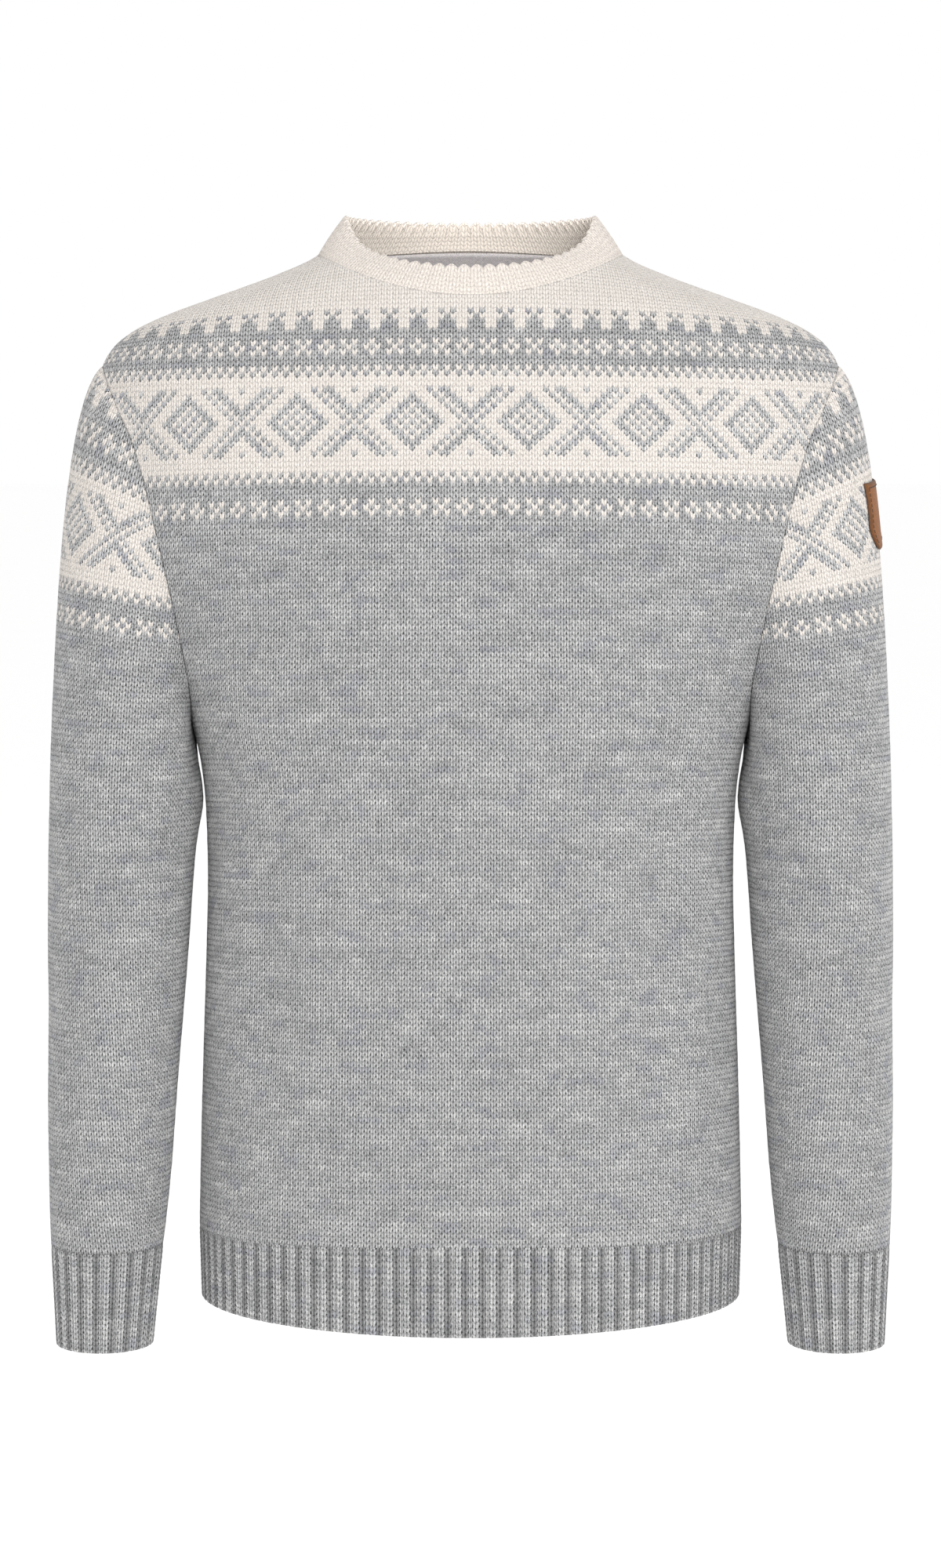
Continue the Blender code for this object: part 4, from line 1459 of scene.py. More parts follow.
@dataclass(frozen=True)
class Chart:
    """The yoke's chart: crosses and diamonds between bands of small checks.

    It is counted in stitches, and in rows from the middle of the crosses.
    """

    cross_repeat: float = 20.0
    check_repeat: float = 8.0
    peak_repeat: float = 5.0
    band_rows: float = 6.0
    cross_reach: float = 8.0
    speckle_rows: tuple = (9.0, -11.0)
    odd_speckle_rows: tuple = (10.0, -10.0)
    check_rows: tuple = (14.0, -16.0)
    grey_reach: float = 3.2
    last_cream_row: float = -11.5
    merlon_row: float = 18.5
    tip_row: float = 20.0
    split_row: float = 21.0

    def group(self) -> Tree:
        """Grey (1) or cream (0) at each stitch."""
        group = ShaderGroup("nordic_chart", {"Column": "Float", "Row": "Float"}, {"Grey": "Float"})
        column, row = group.given("Column"), group.given("Row")
        even = column.wrapped(2.0).under(0.5)
        grey = self.motif(column, row)
        for rows, turn in ((self.speckle_rows, even), (self.odd_speckle_rows, even.without())):
            for level in rows:
                grey = grey.either(row.is_near(level) * turn)
        grey = grey.either(self.merlons(column, row))
        solid = row.is_near(self.check_rows[0], self.grey_reach).either(row.under(self.last_cream_row))
        group.give("Grey", grey.either(solid * self.checks(column, row).without()))
        return group.tree

    def motif(self, column: Wire, row: Wire) -> Wire:
        """Slanting crosses with diamonds between them."""
        across, up = column.from_middle(self.cross_repeat, self.cross_repeat / 2), row.size()
        arms = across.is_near(up + 1.0).either(across.is_near(up - 1.0)).either(across.is_near(up - 2.0))
        foot = across.is_near(0.0) * up.is_near(self.band_rows)
        cross = arms.either(foot) * across.under(self.cross_reach + 0.5)
        ring = across * -1.0 + self.cross_repeat / 2 + up
        diamond = ring.is_near(0.0).either(ring.is_near(2.0)).either(ring.is_near(4.5, 0.9))
        return cross.either(diamond) * up.under(self.band_rows + 0.5)

    def checks(self, column: Wire, row: Wire) -> Wire:
        """Cream rings and crosses, by turns, in the grey bands."""
        high, low = (row.is_near(level, 1.5) for level in self.check_rows)
        up = (high * (row - self.check_rows[0]).size()).either(low * (row - self.check_rows[1]).size())
        phase = (column + 1.0).wrapped(self.check_repeat)
        ring_side, cross_side = phase.from_middle(self.check_repeat, 2.0), (phase - 4.0).size()
        ring = (ring_side + up).is_near(1.0) * ring_side.under(1.5)
        cross = cross_side.is_near(up) * cross_side.under(1.5)
        return ring.either(cross) * high.either(low)

    def merlons(self, column: Wire, row: Wire) -> Wire:
        """Small grey peaks above the upper band."""
        side = (column - 1.0).from_middle(self.peak_repeat, 2.0)
        body = row.is_near(self.merlon_row, 0.9) * side.under(1.5)
        tip = row.is_near(self.tip_row) * side.under(0.5)
        return body.either(tip).either(row.is_near(self.split_row) * side.is_near(1.0))


@dataclass(frozen=True)
class Heather:
    """Heathered yarn: each row's yarn changes shade along its length, leg by leg.

    Scales are across and up, and a blend is the fade of a tint and its greatest share.
    """

    streak_scale: tuple = (0.23, 7.31)
    patch_scale: tuple = (0.07, 0.30)
    tint_scale: tuple = (0.17, 0.41)
    tint_shift: float = 40.0
    fibre_scale: float = 3.1
    streak_share: float = 0.20
    speck_share: float = 0.20
    patch_share: float = 0.16
    fibre_share: float = 0.44
    slow_fade: tuple = (0.25, 0.75)
    fibre_fade: tuple = (0.28, 0.72)
    fleck_blend: tuple = ((0.54, 0.68), 0.55)
    light_blend: tuple = ((0.42, 0.30), 0.45)

    def group(self) -> Tree:
        """Colour and shade of the yarn at each leg of each stitch."""
        inputs = {label: "Float" for label in ("Column", "Row", "Leg")}
        colours = {label: "Color" for label in ("Light", "Dark", "Fleck")}
        group = ShaderGroup(
            "heathered_yarn", {"Knit": "Vector", **inputs, **colours}, {"Color": "Color", "Shade": "Float"}
        )
        tree, source = group.tree, group.source.outputs
        column, row, leg = (group.given(label) for label in inputs)
        white = tree.nodes.new("ShaderNodeTexWhiteNoise")
        white.noise_dimensions = "2D"
        plug(tree, white.inputs["Vector"], vector(tree, column * 2.0 + leg, row))
        speck = Wire(tree, white.outputs["Value"])
        streak, patch = (
            noise(tree, vector(tree, column * across, row * up), 1.0)
            for across, up in (self.streak_scale, self.patch_scale)
        )
        fibre = noise(tree, source["Knit"], self.fibre_scale, 3.0)
        shade = streak.stepped(*self.slow_fade) * self.streak_share + speck * self.speck_share
        shade = shade + patch.stepped(*self.slow_fade) * self.patch_share
        shade = shade + fibre.stepped(*self.fibre_fade) * self.fibre_share
        held = shade.through("MULTIPLY", 1.0, clamp=True)
        colour = blended(tree, held, source["Dark"], source["Light"])
        across, up = self.tint_scale
        tint = noise(tree, vector(tree, column * across + self.tint_shift, row * up), 1.0, 3.0)
        for label, (fade, share) in (("Fleck", self.fleck_blend), ("Light", self.light_blend)):
            colour = blended(tree, tint.stepped(*fade) * share, colour, source[label])
        group.give("Color", colour)
        group.give("Shade", shade)
        return tree


def fuzz_group() -> Tree:
    """Fine wool fibres, as a height and a shade."""
    group = ShaderGroup(
        "wool_fibres", {"Vector": "Vector", "Scale": "Float"}, {"Height": "Float", "Shade": "Float"}
    )
    node = group.tree.nodes.new("ShaderNodeTexNoise")
    node.inputs["Detail"].default_value = 3.0
    node.inputs["Roughness"].default_value = FUZZ_ROUGHNESS
    for label in ("Vector", "Scale"):
        plug(group.tree, node.inputs[label], group.source.outputs[label])
    value = Wire(group.tree, node.outputs["Fac"])
    group.give("Height", value)
    group.give("Shade", (value - 0.5) * FUZZ_CONTRAST + 1.0)
    return group.tree


class ShaderShop:
    """The shader groups that the finishes share."""

    def __init__(self) -> None:
        """Build each group once."""
        self.stitch = StitchCell().group()
        self.chart = Chart().group()
        self.heather = Heather().group()
        self.fuzz = fuzz_group()


class Bench:
    """A material under construction."""

    def __init__(self, name: str) -> None:
        """Start a material with one Principled shader."""
        self.material = bpy.data.materials.new(name)
        self.material.use_nodes = True
        self.tree = self.material.node_tree
        self.shader = self.tree.nodes["Principled BSDF"]

    def group(self, tree: Tree, **values: object) -> Node:
        """Place a group and feed its inputs, whose names are given in lower case."""
        node = self.tree.nodes.new("ShaderNodeGroup")
        node.node_tree = tree
        for label, value in values.items():
            plug(self.tree, node.inputs[label.capitalize()], value)
        return node

    def wire(self, node: Node, label: str) -> Wire:
        """Number that a node gives."""
        return Wire(self.tree, node.outputs[label])

    def uv(self, name: str) -> Socket:
        """Coordinates of a map."""
        node = self.tree.nodes.new("ShaderNodeUVMap")
        node.uv_map = name
        return node.outputs["UV"]

    def place(self) -> Socket:
        """Object coordinates."""
        return self.tree.nodes.new("ShaderNodeTexCoord").outputs["Object"]

    def attribute(self, name: str) -> Wire:
        """Number that the mesh holds."""
        node = self.tree.nodes.new("ShaderNodeAttribute")
        node.attribute_name = name
        return Wire(self.tree, node.outputs["Fac"])

    def shaded(self, colour: object, factor: Wire) -> Socket:
        """Colour times a number."""
        node = self.tree.nodes.new("ShaderNodeVectorMath")
        node.operation = "SCALE"
        plug(self.tree, node.inputs[0], colour)
        plug(self.tree, node.inputs["Scale"], factor)
        return node.outputs[0]

    def bump(self, height: Wire, distance: float, strength: float = 1.0) -> None:
        """Raise the surface by a height."""
        node = self.tree.nodes.new("ShaderNodeBump")
        node.inputs["Distance"].default_value = distance
        node.inputs["Strength"].default_value = strength
        plug(self.tree, node.inputs["Height"], height)
        plug(self.tree, self.shader.inputs["Normal"], node.outputs["Normal"])

    def finish(self, colour: object, roughness: float, sheen: float) -> Material:
        """Set the shader's colour, roughness and sheen, and give the material."""
        plug(self.tree, self.shader.inputs["Base Color"], colour)
        self.shader.inputs["Roughness"].default_value = roughness
        self.shader.inputs["Specular IOR Level"].default_value = CLOTH_SPECULAR
        self.shader.inputs["Sheen Weight"].default_value = sheen
        self.shader.inputs["Sheen Roughness"].default_value = SHEEN_ROUGHNESS
        return self.material


@dataclass(frozen=True)
class YarnFinish:
    """Knitted wool, in grey heather, cream, or both by the yoke's chart.

    A gap value is how dark the painted shade in its gaps is, band_shade the shade of the yoke's grey and
    what the cross band adds to it, and purl_shade how dark the painted shade in a purl groove is.
    The inner faces are blended towards a lighter warm tint, as painted light on faces that lie in shade.
    """

    name: str
    chart: bool = False
    ribbed: bool = False
    cream: bool = False
    light: tuple = (0.575, 0.573, 0.566)
    dark: tuple = (0.165, 0.168, 0.174)
    fleck: tuple = (0.245, 0.252, 0.290)
    cream_light: tuple = (0.598, 0.562, 0.528)
    cream_dark: tuple = (0.517, 0.478, 0.440)
    inside_tint: tuple = (0.780, 0.710, 0.640)
    inside_share: float = 0.35
    slant: float = 0.66
    fuzz_scale: float = 1250.0
    fuzz_height: float = 0.22
    bump_depth: float = 0.0011
    grey_gap: float = 1.0
    cream_gap: float = 0.23
    band_reach: float = 8.5
    band_shade: tuple = (0.96, 0.16)
    purl_shade: float = 0.60
    purl_light: float = 0.30
    knit_light: float = 0.99
    edge_fade: tuple = (0.72, 0.98)
    edge_shade: float = 0.42
    cream_height: float = 0.55

    def material(self, shop: ShaderShop) -> Material:
        """Build the material."""
        bench = Bench(self.name)
        knit = bench.uv("Knit")
        cell = bench.group(shop.stitch, knit=knit, slant=self.slant)
        stitch = {label: bench.wire(cell, label.capitalize()) for label in ("column", "row", "leg")}
        tones = {label: (*getattr(self, label), 1.0) for label in ("light", "dark", "fleck")}
        grey = bench.group(shop.heather, knit=knit, **stitch, **tones)
        fuzz = bench.group(shop.fuzz, vector=bench.place(), scale=self.fuzz_scale)
        colour = grey.outputs["Color"]
        # Painted shade: the gaps between and within the stitches are darkened in the colour.
        gap = bench.wire(cell, "Gap")
        shade = gap * -self.grey_gap + 1.0
        if self.cream or self.chart:
            cream = blended(bench.tree, bench.wire(grey, "Shade"), self.cream_dark, self.cream_light)
            # Painted shade in the gaps, lighter on cream.
            cream_shade = gap * -self.cream_gap + 1.0
        if self.chart:
            mask = bench.wire(bench.group(shop.chart, column=stitch["column"], row=stitch["row"]), "Grey")
            base, rise = self.band_shade
            tight = stitch["row"].is_near(0.0, self.band_reach) * rise + base
            colour = blended(bench.tree, mask, cream, bench.shaded(colour, tight))
            shade = cream_shade + (shade - cream_shade) * mask
        elif self.cream:
            colour, shade = cream, cream_shade
        if self.ribbed:
            # Painted shade: the purl grooves are darkened, most in their middle, and so are the lines between
            # the knit columns.
            purl = stitch["column"].wrapped(float(RIB_STITCHES)).is_near(2.0)
            across = bench.wire(cell, "Across")
            purl_shade = purl * (across * self.purl_light - self.purl_shade) + self.knit_light
            shade = shade * purl_shade * (across.stepped(*self.edge_fade) * -self.edge_shade + 1.0)
        colour = bench.shaded(colour, shade * bench.wire(fuzz, "Shade"))
        if self.cream or self.chart:
            # Painted light: the inner faces, which lie in shade, are blended towards a lighter warm tint.
            inside = bench.attribute("inside") * self.inside_share
            colour = blended(bench.tree, inside, colour, self.inside_tint)
        height = bench.wire(cell, "Height") + bench.wire(fuzz, "Height") * self.fuzz_height
        if self.chart:
            height = height * (mask * (1 - self.cream_height) + self.cream_height)
        bench.bump(height, self.bump_depth)
        return bench.finish(colour, 0.88, 0.12)


@dataclass(frozen=True)
class FacingFinish:
    """Smooth lilac-grey facing cloth with a fine weave."""

    name: str = "facing_cloth"
    colour: tuple = (0.680, 0.640, 0.640)
    threads: float = 2.2
    fuzz_scale: float = 900.0
    weave_shade: float = 0.05
    weave_height: float = 0.5

    def material(self, shop: ShaderShop) -> Material:
        """Build the material."""
        bench = Bench(self.name)
        warp, weft = (axis * (self.threads * math.tau) for axis in split(bench.tree, bench.uv("Knit")))
        weave = warp.through("SINE") * weft.through("SINE")
        fuzz = bench.group(shop.fuzz, vector=bench.place(), scale=self.fuzz_scale)
        bench.bump(weave * self.weave_height + bench.wire(fuzz, "Height"), 0.0002)
        shade = bench.wire(fuzz, "Shade") * (weave * self.weave_shade + 0.97)
        return bench.finish(bench.shaded(self.colour, shade), 0.8, 0.05)


@dataclass(frozen=True)
class LeatherFinish:
    """Brown leather with a fine grain, darker along its rim."""

    name: str = "badge_leather"
    colour: tuple = (0.200, 0.068, 0.010)
    dark: tuple = (0.045, 0.019, 0.008)
    fuzz_scale: float = 420.0
    grain_scale: float = 1500.0
    rim_share: float = 0.75
    grain_share: float = 0.5

    def material(self, shop: ShaderShop) -> Material:
        """Build the material."""
        bench = Bench(self.name)
        fuzz = bench.group(shop.fuzz, vector=bench.place(), scale=self.fuzz_scale)
        grain = noise(bench.tree, bench.place(), self.grain_scale, 3.0)
        share = bench.attribute("rim") * self.rim_share + (grain - 0.5) * self.grain_share
        colour = blended(bench.tree, share.through("MAXIMUM", 0.0), self.colour, self.dark)
        bench.bump(grain + bench.wire(fuzz, "Height") * 0.5, 0.00025)
        return bench.finish(bench.shaded(colour, bench.wire(fuzz, "Shade")), 0.52, 0.0)


@dataclass(frozen=True)
class ThreadFinish:
    """Waxed sewing thread with a twist."""

    name: str = "badge_thread"
    colour: tuple = (0.060, 0.035, 0.025)
    fuzz_scale: float = 2500.0

    def material(self, shop: ShaderShop) -> Material:
        """Build the material."""
        bench = Bench(self.name)
        fuzz = bench.group(shop.fuzz, vector=bench.place(), scale=self.fuzz_scale)
        bench.bump(bench.wire(fuzz, "Height"), 0.0002)
        return bench.finish(bench.shaded(self.colour, bench.wire(fuzz, "Shade")), 0.6, 0.0)


# ---- pieces


@dataclass
class KnitPiece:
    """A knitted piece that is cut to shape: a body panel or a sleeve."""

    name: str
    node: str
    knit: Knit
    column_limit: float
    first_row: float
    last_row: float
    flip: float = 1.0
    welded: bool = False
    chart_shift: int = 0
    column_step: float = 0.25
    row_step: float = 1.0
    inner_column_step: float = 3.0
    inner_row_step: float = 4.0
    least_step: float = 0.2
    unevenness: float = 0.05
    seed: int = 7

    def build(self) -> Piece:
        """Make the piece's outer face stitch by stitch, its inner face and its rims."""
        outer = self.face(self.column_step, self.row_step)
        inner = self.face(self.inner_column_step, self.inner_row_step)
        outer = outer.moved(outer.normals(), self.lift(outer))
        inner = inner.moved(inner.normals(), -(BODY_CLOTH + self.knit.dip(*inner.stitch.T)))
        for surface in (outer, inner):
            surface.knit[..., 0] -= self.chart_shift
            surface.stitch[..., 0] -= self.chart_shift
        return Wall(outer, inner).build(self.name, self.flip)

    def face(self, column_step: float, row_step: float) -> Surface:
        """One face, flat, with whole rows from the piece's first one up."""
        columns = even_steps(-self.column_limit, self.column_limit, column_step)
        whole = np.arange(math.ceil(self.first_row + self.least_step), self.last_row, row_step)
        return KnitCutter(self.knit).cut(columns, np.concatenate(([self.first_row], whole)), self.welded)

    def lift(self, surface: Surface) -> Array:
        """Height of the outer face: its legs, its folds and a little unevenness."""
        column, row = surface.stitch.T
        fade = smooth_step(0.0, SEAM_REACH / 2, surface.room)
        uneven = np.random.default_rng(self.seed).normal(0.0, self.unevenness, len(column))
        return (leg_relief(column) + uneven) * fade - self.knit.dip(column, row)


@dataclass
class RibBand:
    """A ribbed band, two knit stitches and a purl stitch to a rib."""

    name: str
    node: str
    ribs: int
    seam_edge: Callable[[Array], Array]
    low_edge: Callable[[Array], Array]
    outward: Callable[[Array], Array]
    closed: bool
    rows: int
    first_stitch: float
    top_row: float
    flip: float = 1.0
    columns_per_rib: int = 14
    steps_per_row: int = 4
    inner_columns_per_rib: int = 3
    inner_rows: int = 8
    slant: float = 0.66
    seam_fade: float = 0.10
    edge_fade: float = 0.03
    groove_fade: tuple = (0.20, 1.15)
    leg_ridge: float = 0.6
    leg_valley: float = 0.25
    leg_drop: float = 0.15
    bar_ridge: float = 0.25

    def build(self) -> Piece:
        """Make the band's ribbed outer face, its plain inner face and its rims."""
        outer = self.face(self.ribs * self.columns_per_rib, self.rows * self.steps_per_row, True)
        inner = self.face(self.ribs * self.inner_columns_per_rib, self.inner_rows, False)
        return Wall(outer, inner).build(self.name, self.flip)

    def face(self, columns: int, rows: int, ribbed: bool) -> Surface:
        """One face of the band as a grid, with so many steps across and up."""
        share = np.arange(columns + 1) / columns
        up = np.linspace(0, 1, rows + 1)[:, None]
        seam, low, outward = self.seam_edge(share), self.low_edge(share), self.outward(share)
        stitch = self.stitches(share, up[:, 0])
        depth = np.full(stitch.shape[:2], -(RIB_DEPTH + RIB_CLOTH))
        if ribbed:
            to_seam = smooth_step(0.0, self.seam_fade, 1 - up)
            to_edge = 0.5 + 0.5 * smooth_step(-self.edge_fade, self.edge_fade, up)
            depth = self.relief(share, stitch) * to_seam * to_edge
        points = low + (seam - low) * up[..., None] + outward * depth[..., None]
        return grid_surface(points, stitch, self.closed)

    def stitches(self, share: Array, up: Array) -> Array:
        """Stitch coordinates of the grid; purl stitches are drawn together."""
        place = share * self.ribs
        rib = np.floor(place + 1e-9)
        knots = (0.0, RIB_GROOVE, 1 - RIB_GROOVE, 1.0)
        local = np.interp(place - rib, knots, (-1.0, -0.5, 1.5, 2.0))
        column = self.first_stitch + rib * RIB_STITCHES + 1 + local
        row = self.top_row - (1 - up) * self.rows
        return np.stack(np.broadcast_arrays(column[None, :], row[:, None]), axis=-1)

    def relief(self, share: Array, stitch: Array) -> Array:
        """Height of the outer face: grooves at the purl stitches, legs on the ribs."""
        phase = (share * self.ribs) % 1.0
        start, end = (edge * RIB_GROOVE for edge in self.groove_fade)
        groove = 1 - smooth_step(start, end, np.minimum(phase, 1 - phase))
        across = np.abs(2 * ((stitch[..., 0] - self.first_stitch) % 1.0) - 1)
        along = (stitch[..., 1] + 0.5 - self.slant * (across - 0.5)) % 1.0
        bulge = 0.6 + 0.4 * np.sin(math.pi * along)
        legs = self.leg_ridge * np.sin(math.pi * across) * bulge - self.leg_valley * across**2 - self.leg_drop
        bars = self.bar_ridge * np.sin(math.tau * stitch[..., 1])
        return np.where(groove > 0.999, bars, legs * (1 - groove) + bars * groove) - GROOVE_DEPTH * groove


@dataclass
class Collar:
    """Folded neck band with a picot edge of rounded teeth."""

    neckline: Neckline
    name: str = "collar_knit"
    node: str = "collar"
    columns_per_tooth: int = 10
    stitches_per_tooth: int = 2
    tooth_roundness: float = 0.85
    tooth_start: float = 0.62
    tooth_flatness: float = 0.7
    knit_rows: float = 6.0
    face_steps: int = 20
    roll_steps: int = 7
    roll_start: float = 0.94
    face_relief: float = 0.4
    roll_relief: float = 0.2
    foot_fade: float = 0.15

    def top(self, turn: Array) -> Array:
        """Points of the fold, before its teeth, at turns round the neck."""
        forward = np.cos(turn)
        ahead = forward > 0
        reach = np.where(ahead, COLLAR_TOP_REACH["front"], COLLAR_TOP_REACH["back"])
        centre = np.where(ahead, COLLAR_CENTRE_HEIGHT["front"], COLLAR_CENTRE_HEIGHT["back"])
        corner = 1 - np.exp(-((forward / COLLAR_FRONT_CORNER) ** 2))
        front_share = np.clip(forward, 0, 1) ** COLLAR_FRONT_CURVE * corner
        height = COLLAR_SIDE_HEIGHT + (centre - COLLAR_SIDE_HEIGHT) * np.where(ahead, front_share, forward**2)
        return np.stack((COLLAR_TOP_HALF_WIDTH * np.sin(turn), -reach * forward, height), axis=-1)

    def build(self) -> Piece:
        """Make the collar as one closed tube of cloth."""
        count = PICOT_TEETH * self.columns_per_tooth
        turn = 2 * math.pi * np.arange(count + 1) / count
        phase = np.arange(count + 1) / self.columns_per_tooth
        tooth = PICOT_HEIGHT * np.abs(np.sin(math.pi * phase)) ** self.tooth_roundness
        column = phase * self.stitches_per_tooth
        foot, top = self.neckline.loop(turn), self.top(turn)
        rise = unit(top - foot)
        away = unit(top * (1.0, 1.0, 0.0))
        outward = unit(away - rise * (away * rise).sum(axis=1, keepdims=True))
        section = self.section()
        rings = []
        for up, depth in section:
            spot = foot + (top - foot) * up + rise * (tooth * self.near_top(up))[:, None]
            rings.append(spot + outward * self.lift(up, depth, tooth, column)[:, None])
        points = np.array([*rings, rings[0]])
        rows = np.array([up * self.knit_rows for up, _ in section])
        rows = np.append(rows, rows[-1])
        stitch = np.stack(np.broadcast_arrays(column[None, :], rows[:, None]), axis=-1)
        tube = grid_surface(points, stitch, closed=True)
        size = len(section) * count
        piece = mesh_object(self.name, tube.points[:size], tube.triangles % size, tube.knit)
        by_face = np.repeat([depth > 0.5 for _, depth in section], count)
        mark(piece, "inside", "FACE", np.tile(by_face, 2))
        turn_outwards(piece)
        return piece

    def near_top(self, up: float) -> float:
        """How near the fold a share up is, from 0 to 1."""
        return float(smooth_step(self.tooth_start, 1.0, up))

    def lift(self, up: float, depth: float, tooth: Array, column: Array) -> Array:
        """Height of the cloth over the line from the seam to the fold, at the stitches."""
        near_top = self.near_top(up)
        thin = 1 - near_top * (1 - PICOT_THINNING) * (tooth / PICOT_HEIGHT)
        share = self.face_relief if depth in (0.0, 1.0) else self.roll_relief
        relief = leg_relief(column) * share * (1 - self.tooth_flatness * near_top)
        relief = relief * smooth_step(0.0, self.foot_fade, up)
        swell = COLLAR_SWELL * math.sin(math.pi * up)
        return (relief if depth < 0.5 else -relief) + swell - depth * COLLAR_CLOTH * thin

    def section(self) -> list[tuple[float, float]]:
        """Steps round the band's section: share up, and share in."""
        face = np.linspace(0.0, self.roll_start, self.face_steps)
        steps = [(up, 0.0) for up in face]
        for step in range(1, self.roll_steps):
            turn = math.pi * step / self.roll_steps
            up = self.roll_start + (1 - self.roll_start) * math.sin(turn)
            steps.append((up, 0.5 - 0.5 * math.cos(turn)))
        back = np.linspace(self.roll_start, 0.0, self.face_steps)
        return steps + [(up, 1.0) for up in back]


@dataclass
class NeckFacing:
    """Smooth strip inside the back neck."""

    torso: Torso
    neckline: Neckline
    name: str = "back_neck_facing"
    node: str = "neck_facing"
    columns: int = 60
    rows: int = 16

    def build(self) -> Piece:
        """Make the strip as a thin wall with rounded edges."""
        share = np.linspace(-1, 1, self.columns + 1)
        top = self.neckline.point(Side.BACK, np.abs(share) * FACING_SPAN)
        pairs = zip(top[:, 2], top[:, 0])
        arc = np.array([self.torso.arc_at(Side.BACK, height, across) for height, across in pairs])
        arc = arc * np.sign(share)
        fall = FACING_HEIGHT * np.sqrt(1 - (FACING_TAPER * share) ** 2)
        up = np.linspace(0, 1, self.rows + 1)[:, None]
        height = top[:, 2] - FACING_DROP - fall * (1 - up)
        points = self.torso.point(Side.BACK, height, np.broadcast_to(arc, height.shape))
        stitch = np.stack(np.broadcast_arrays(arc / STITCH_WIDTH, height / ROW_HEIGHT), -1)
        base = grid_surface(points, stitch, closed=False)
        way = base.normals()
        way = way * np.sign((way * base.points * (1.0, 1.0, 0.0)).sum(axis=1, keepdims=True))
        near = BODY_CLOTH + FACING_CLEARANCE
        return Wall(base.moved(way, -near), base.moved(way, -(near + FACING_CLOTH))).build(self.name)


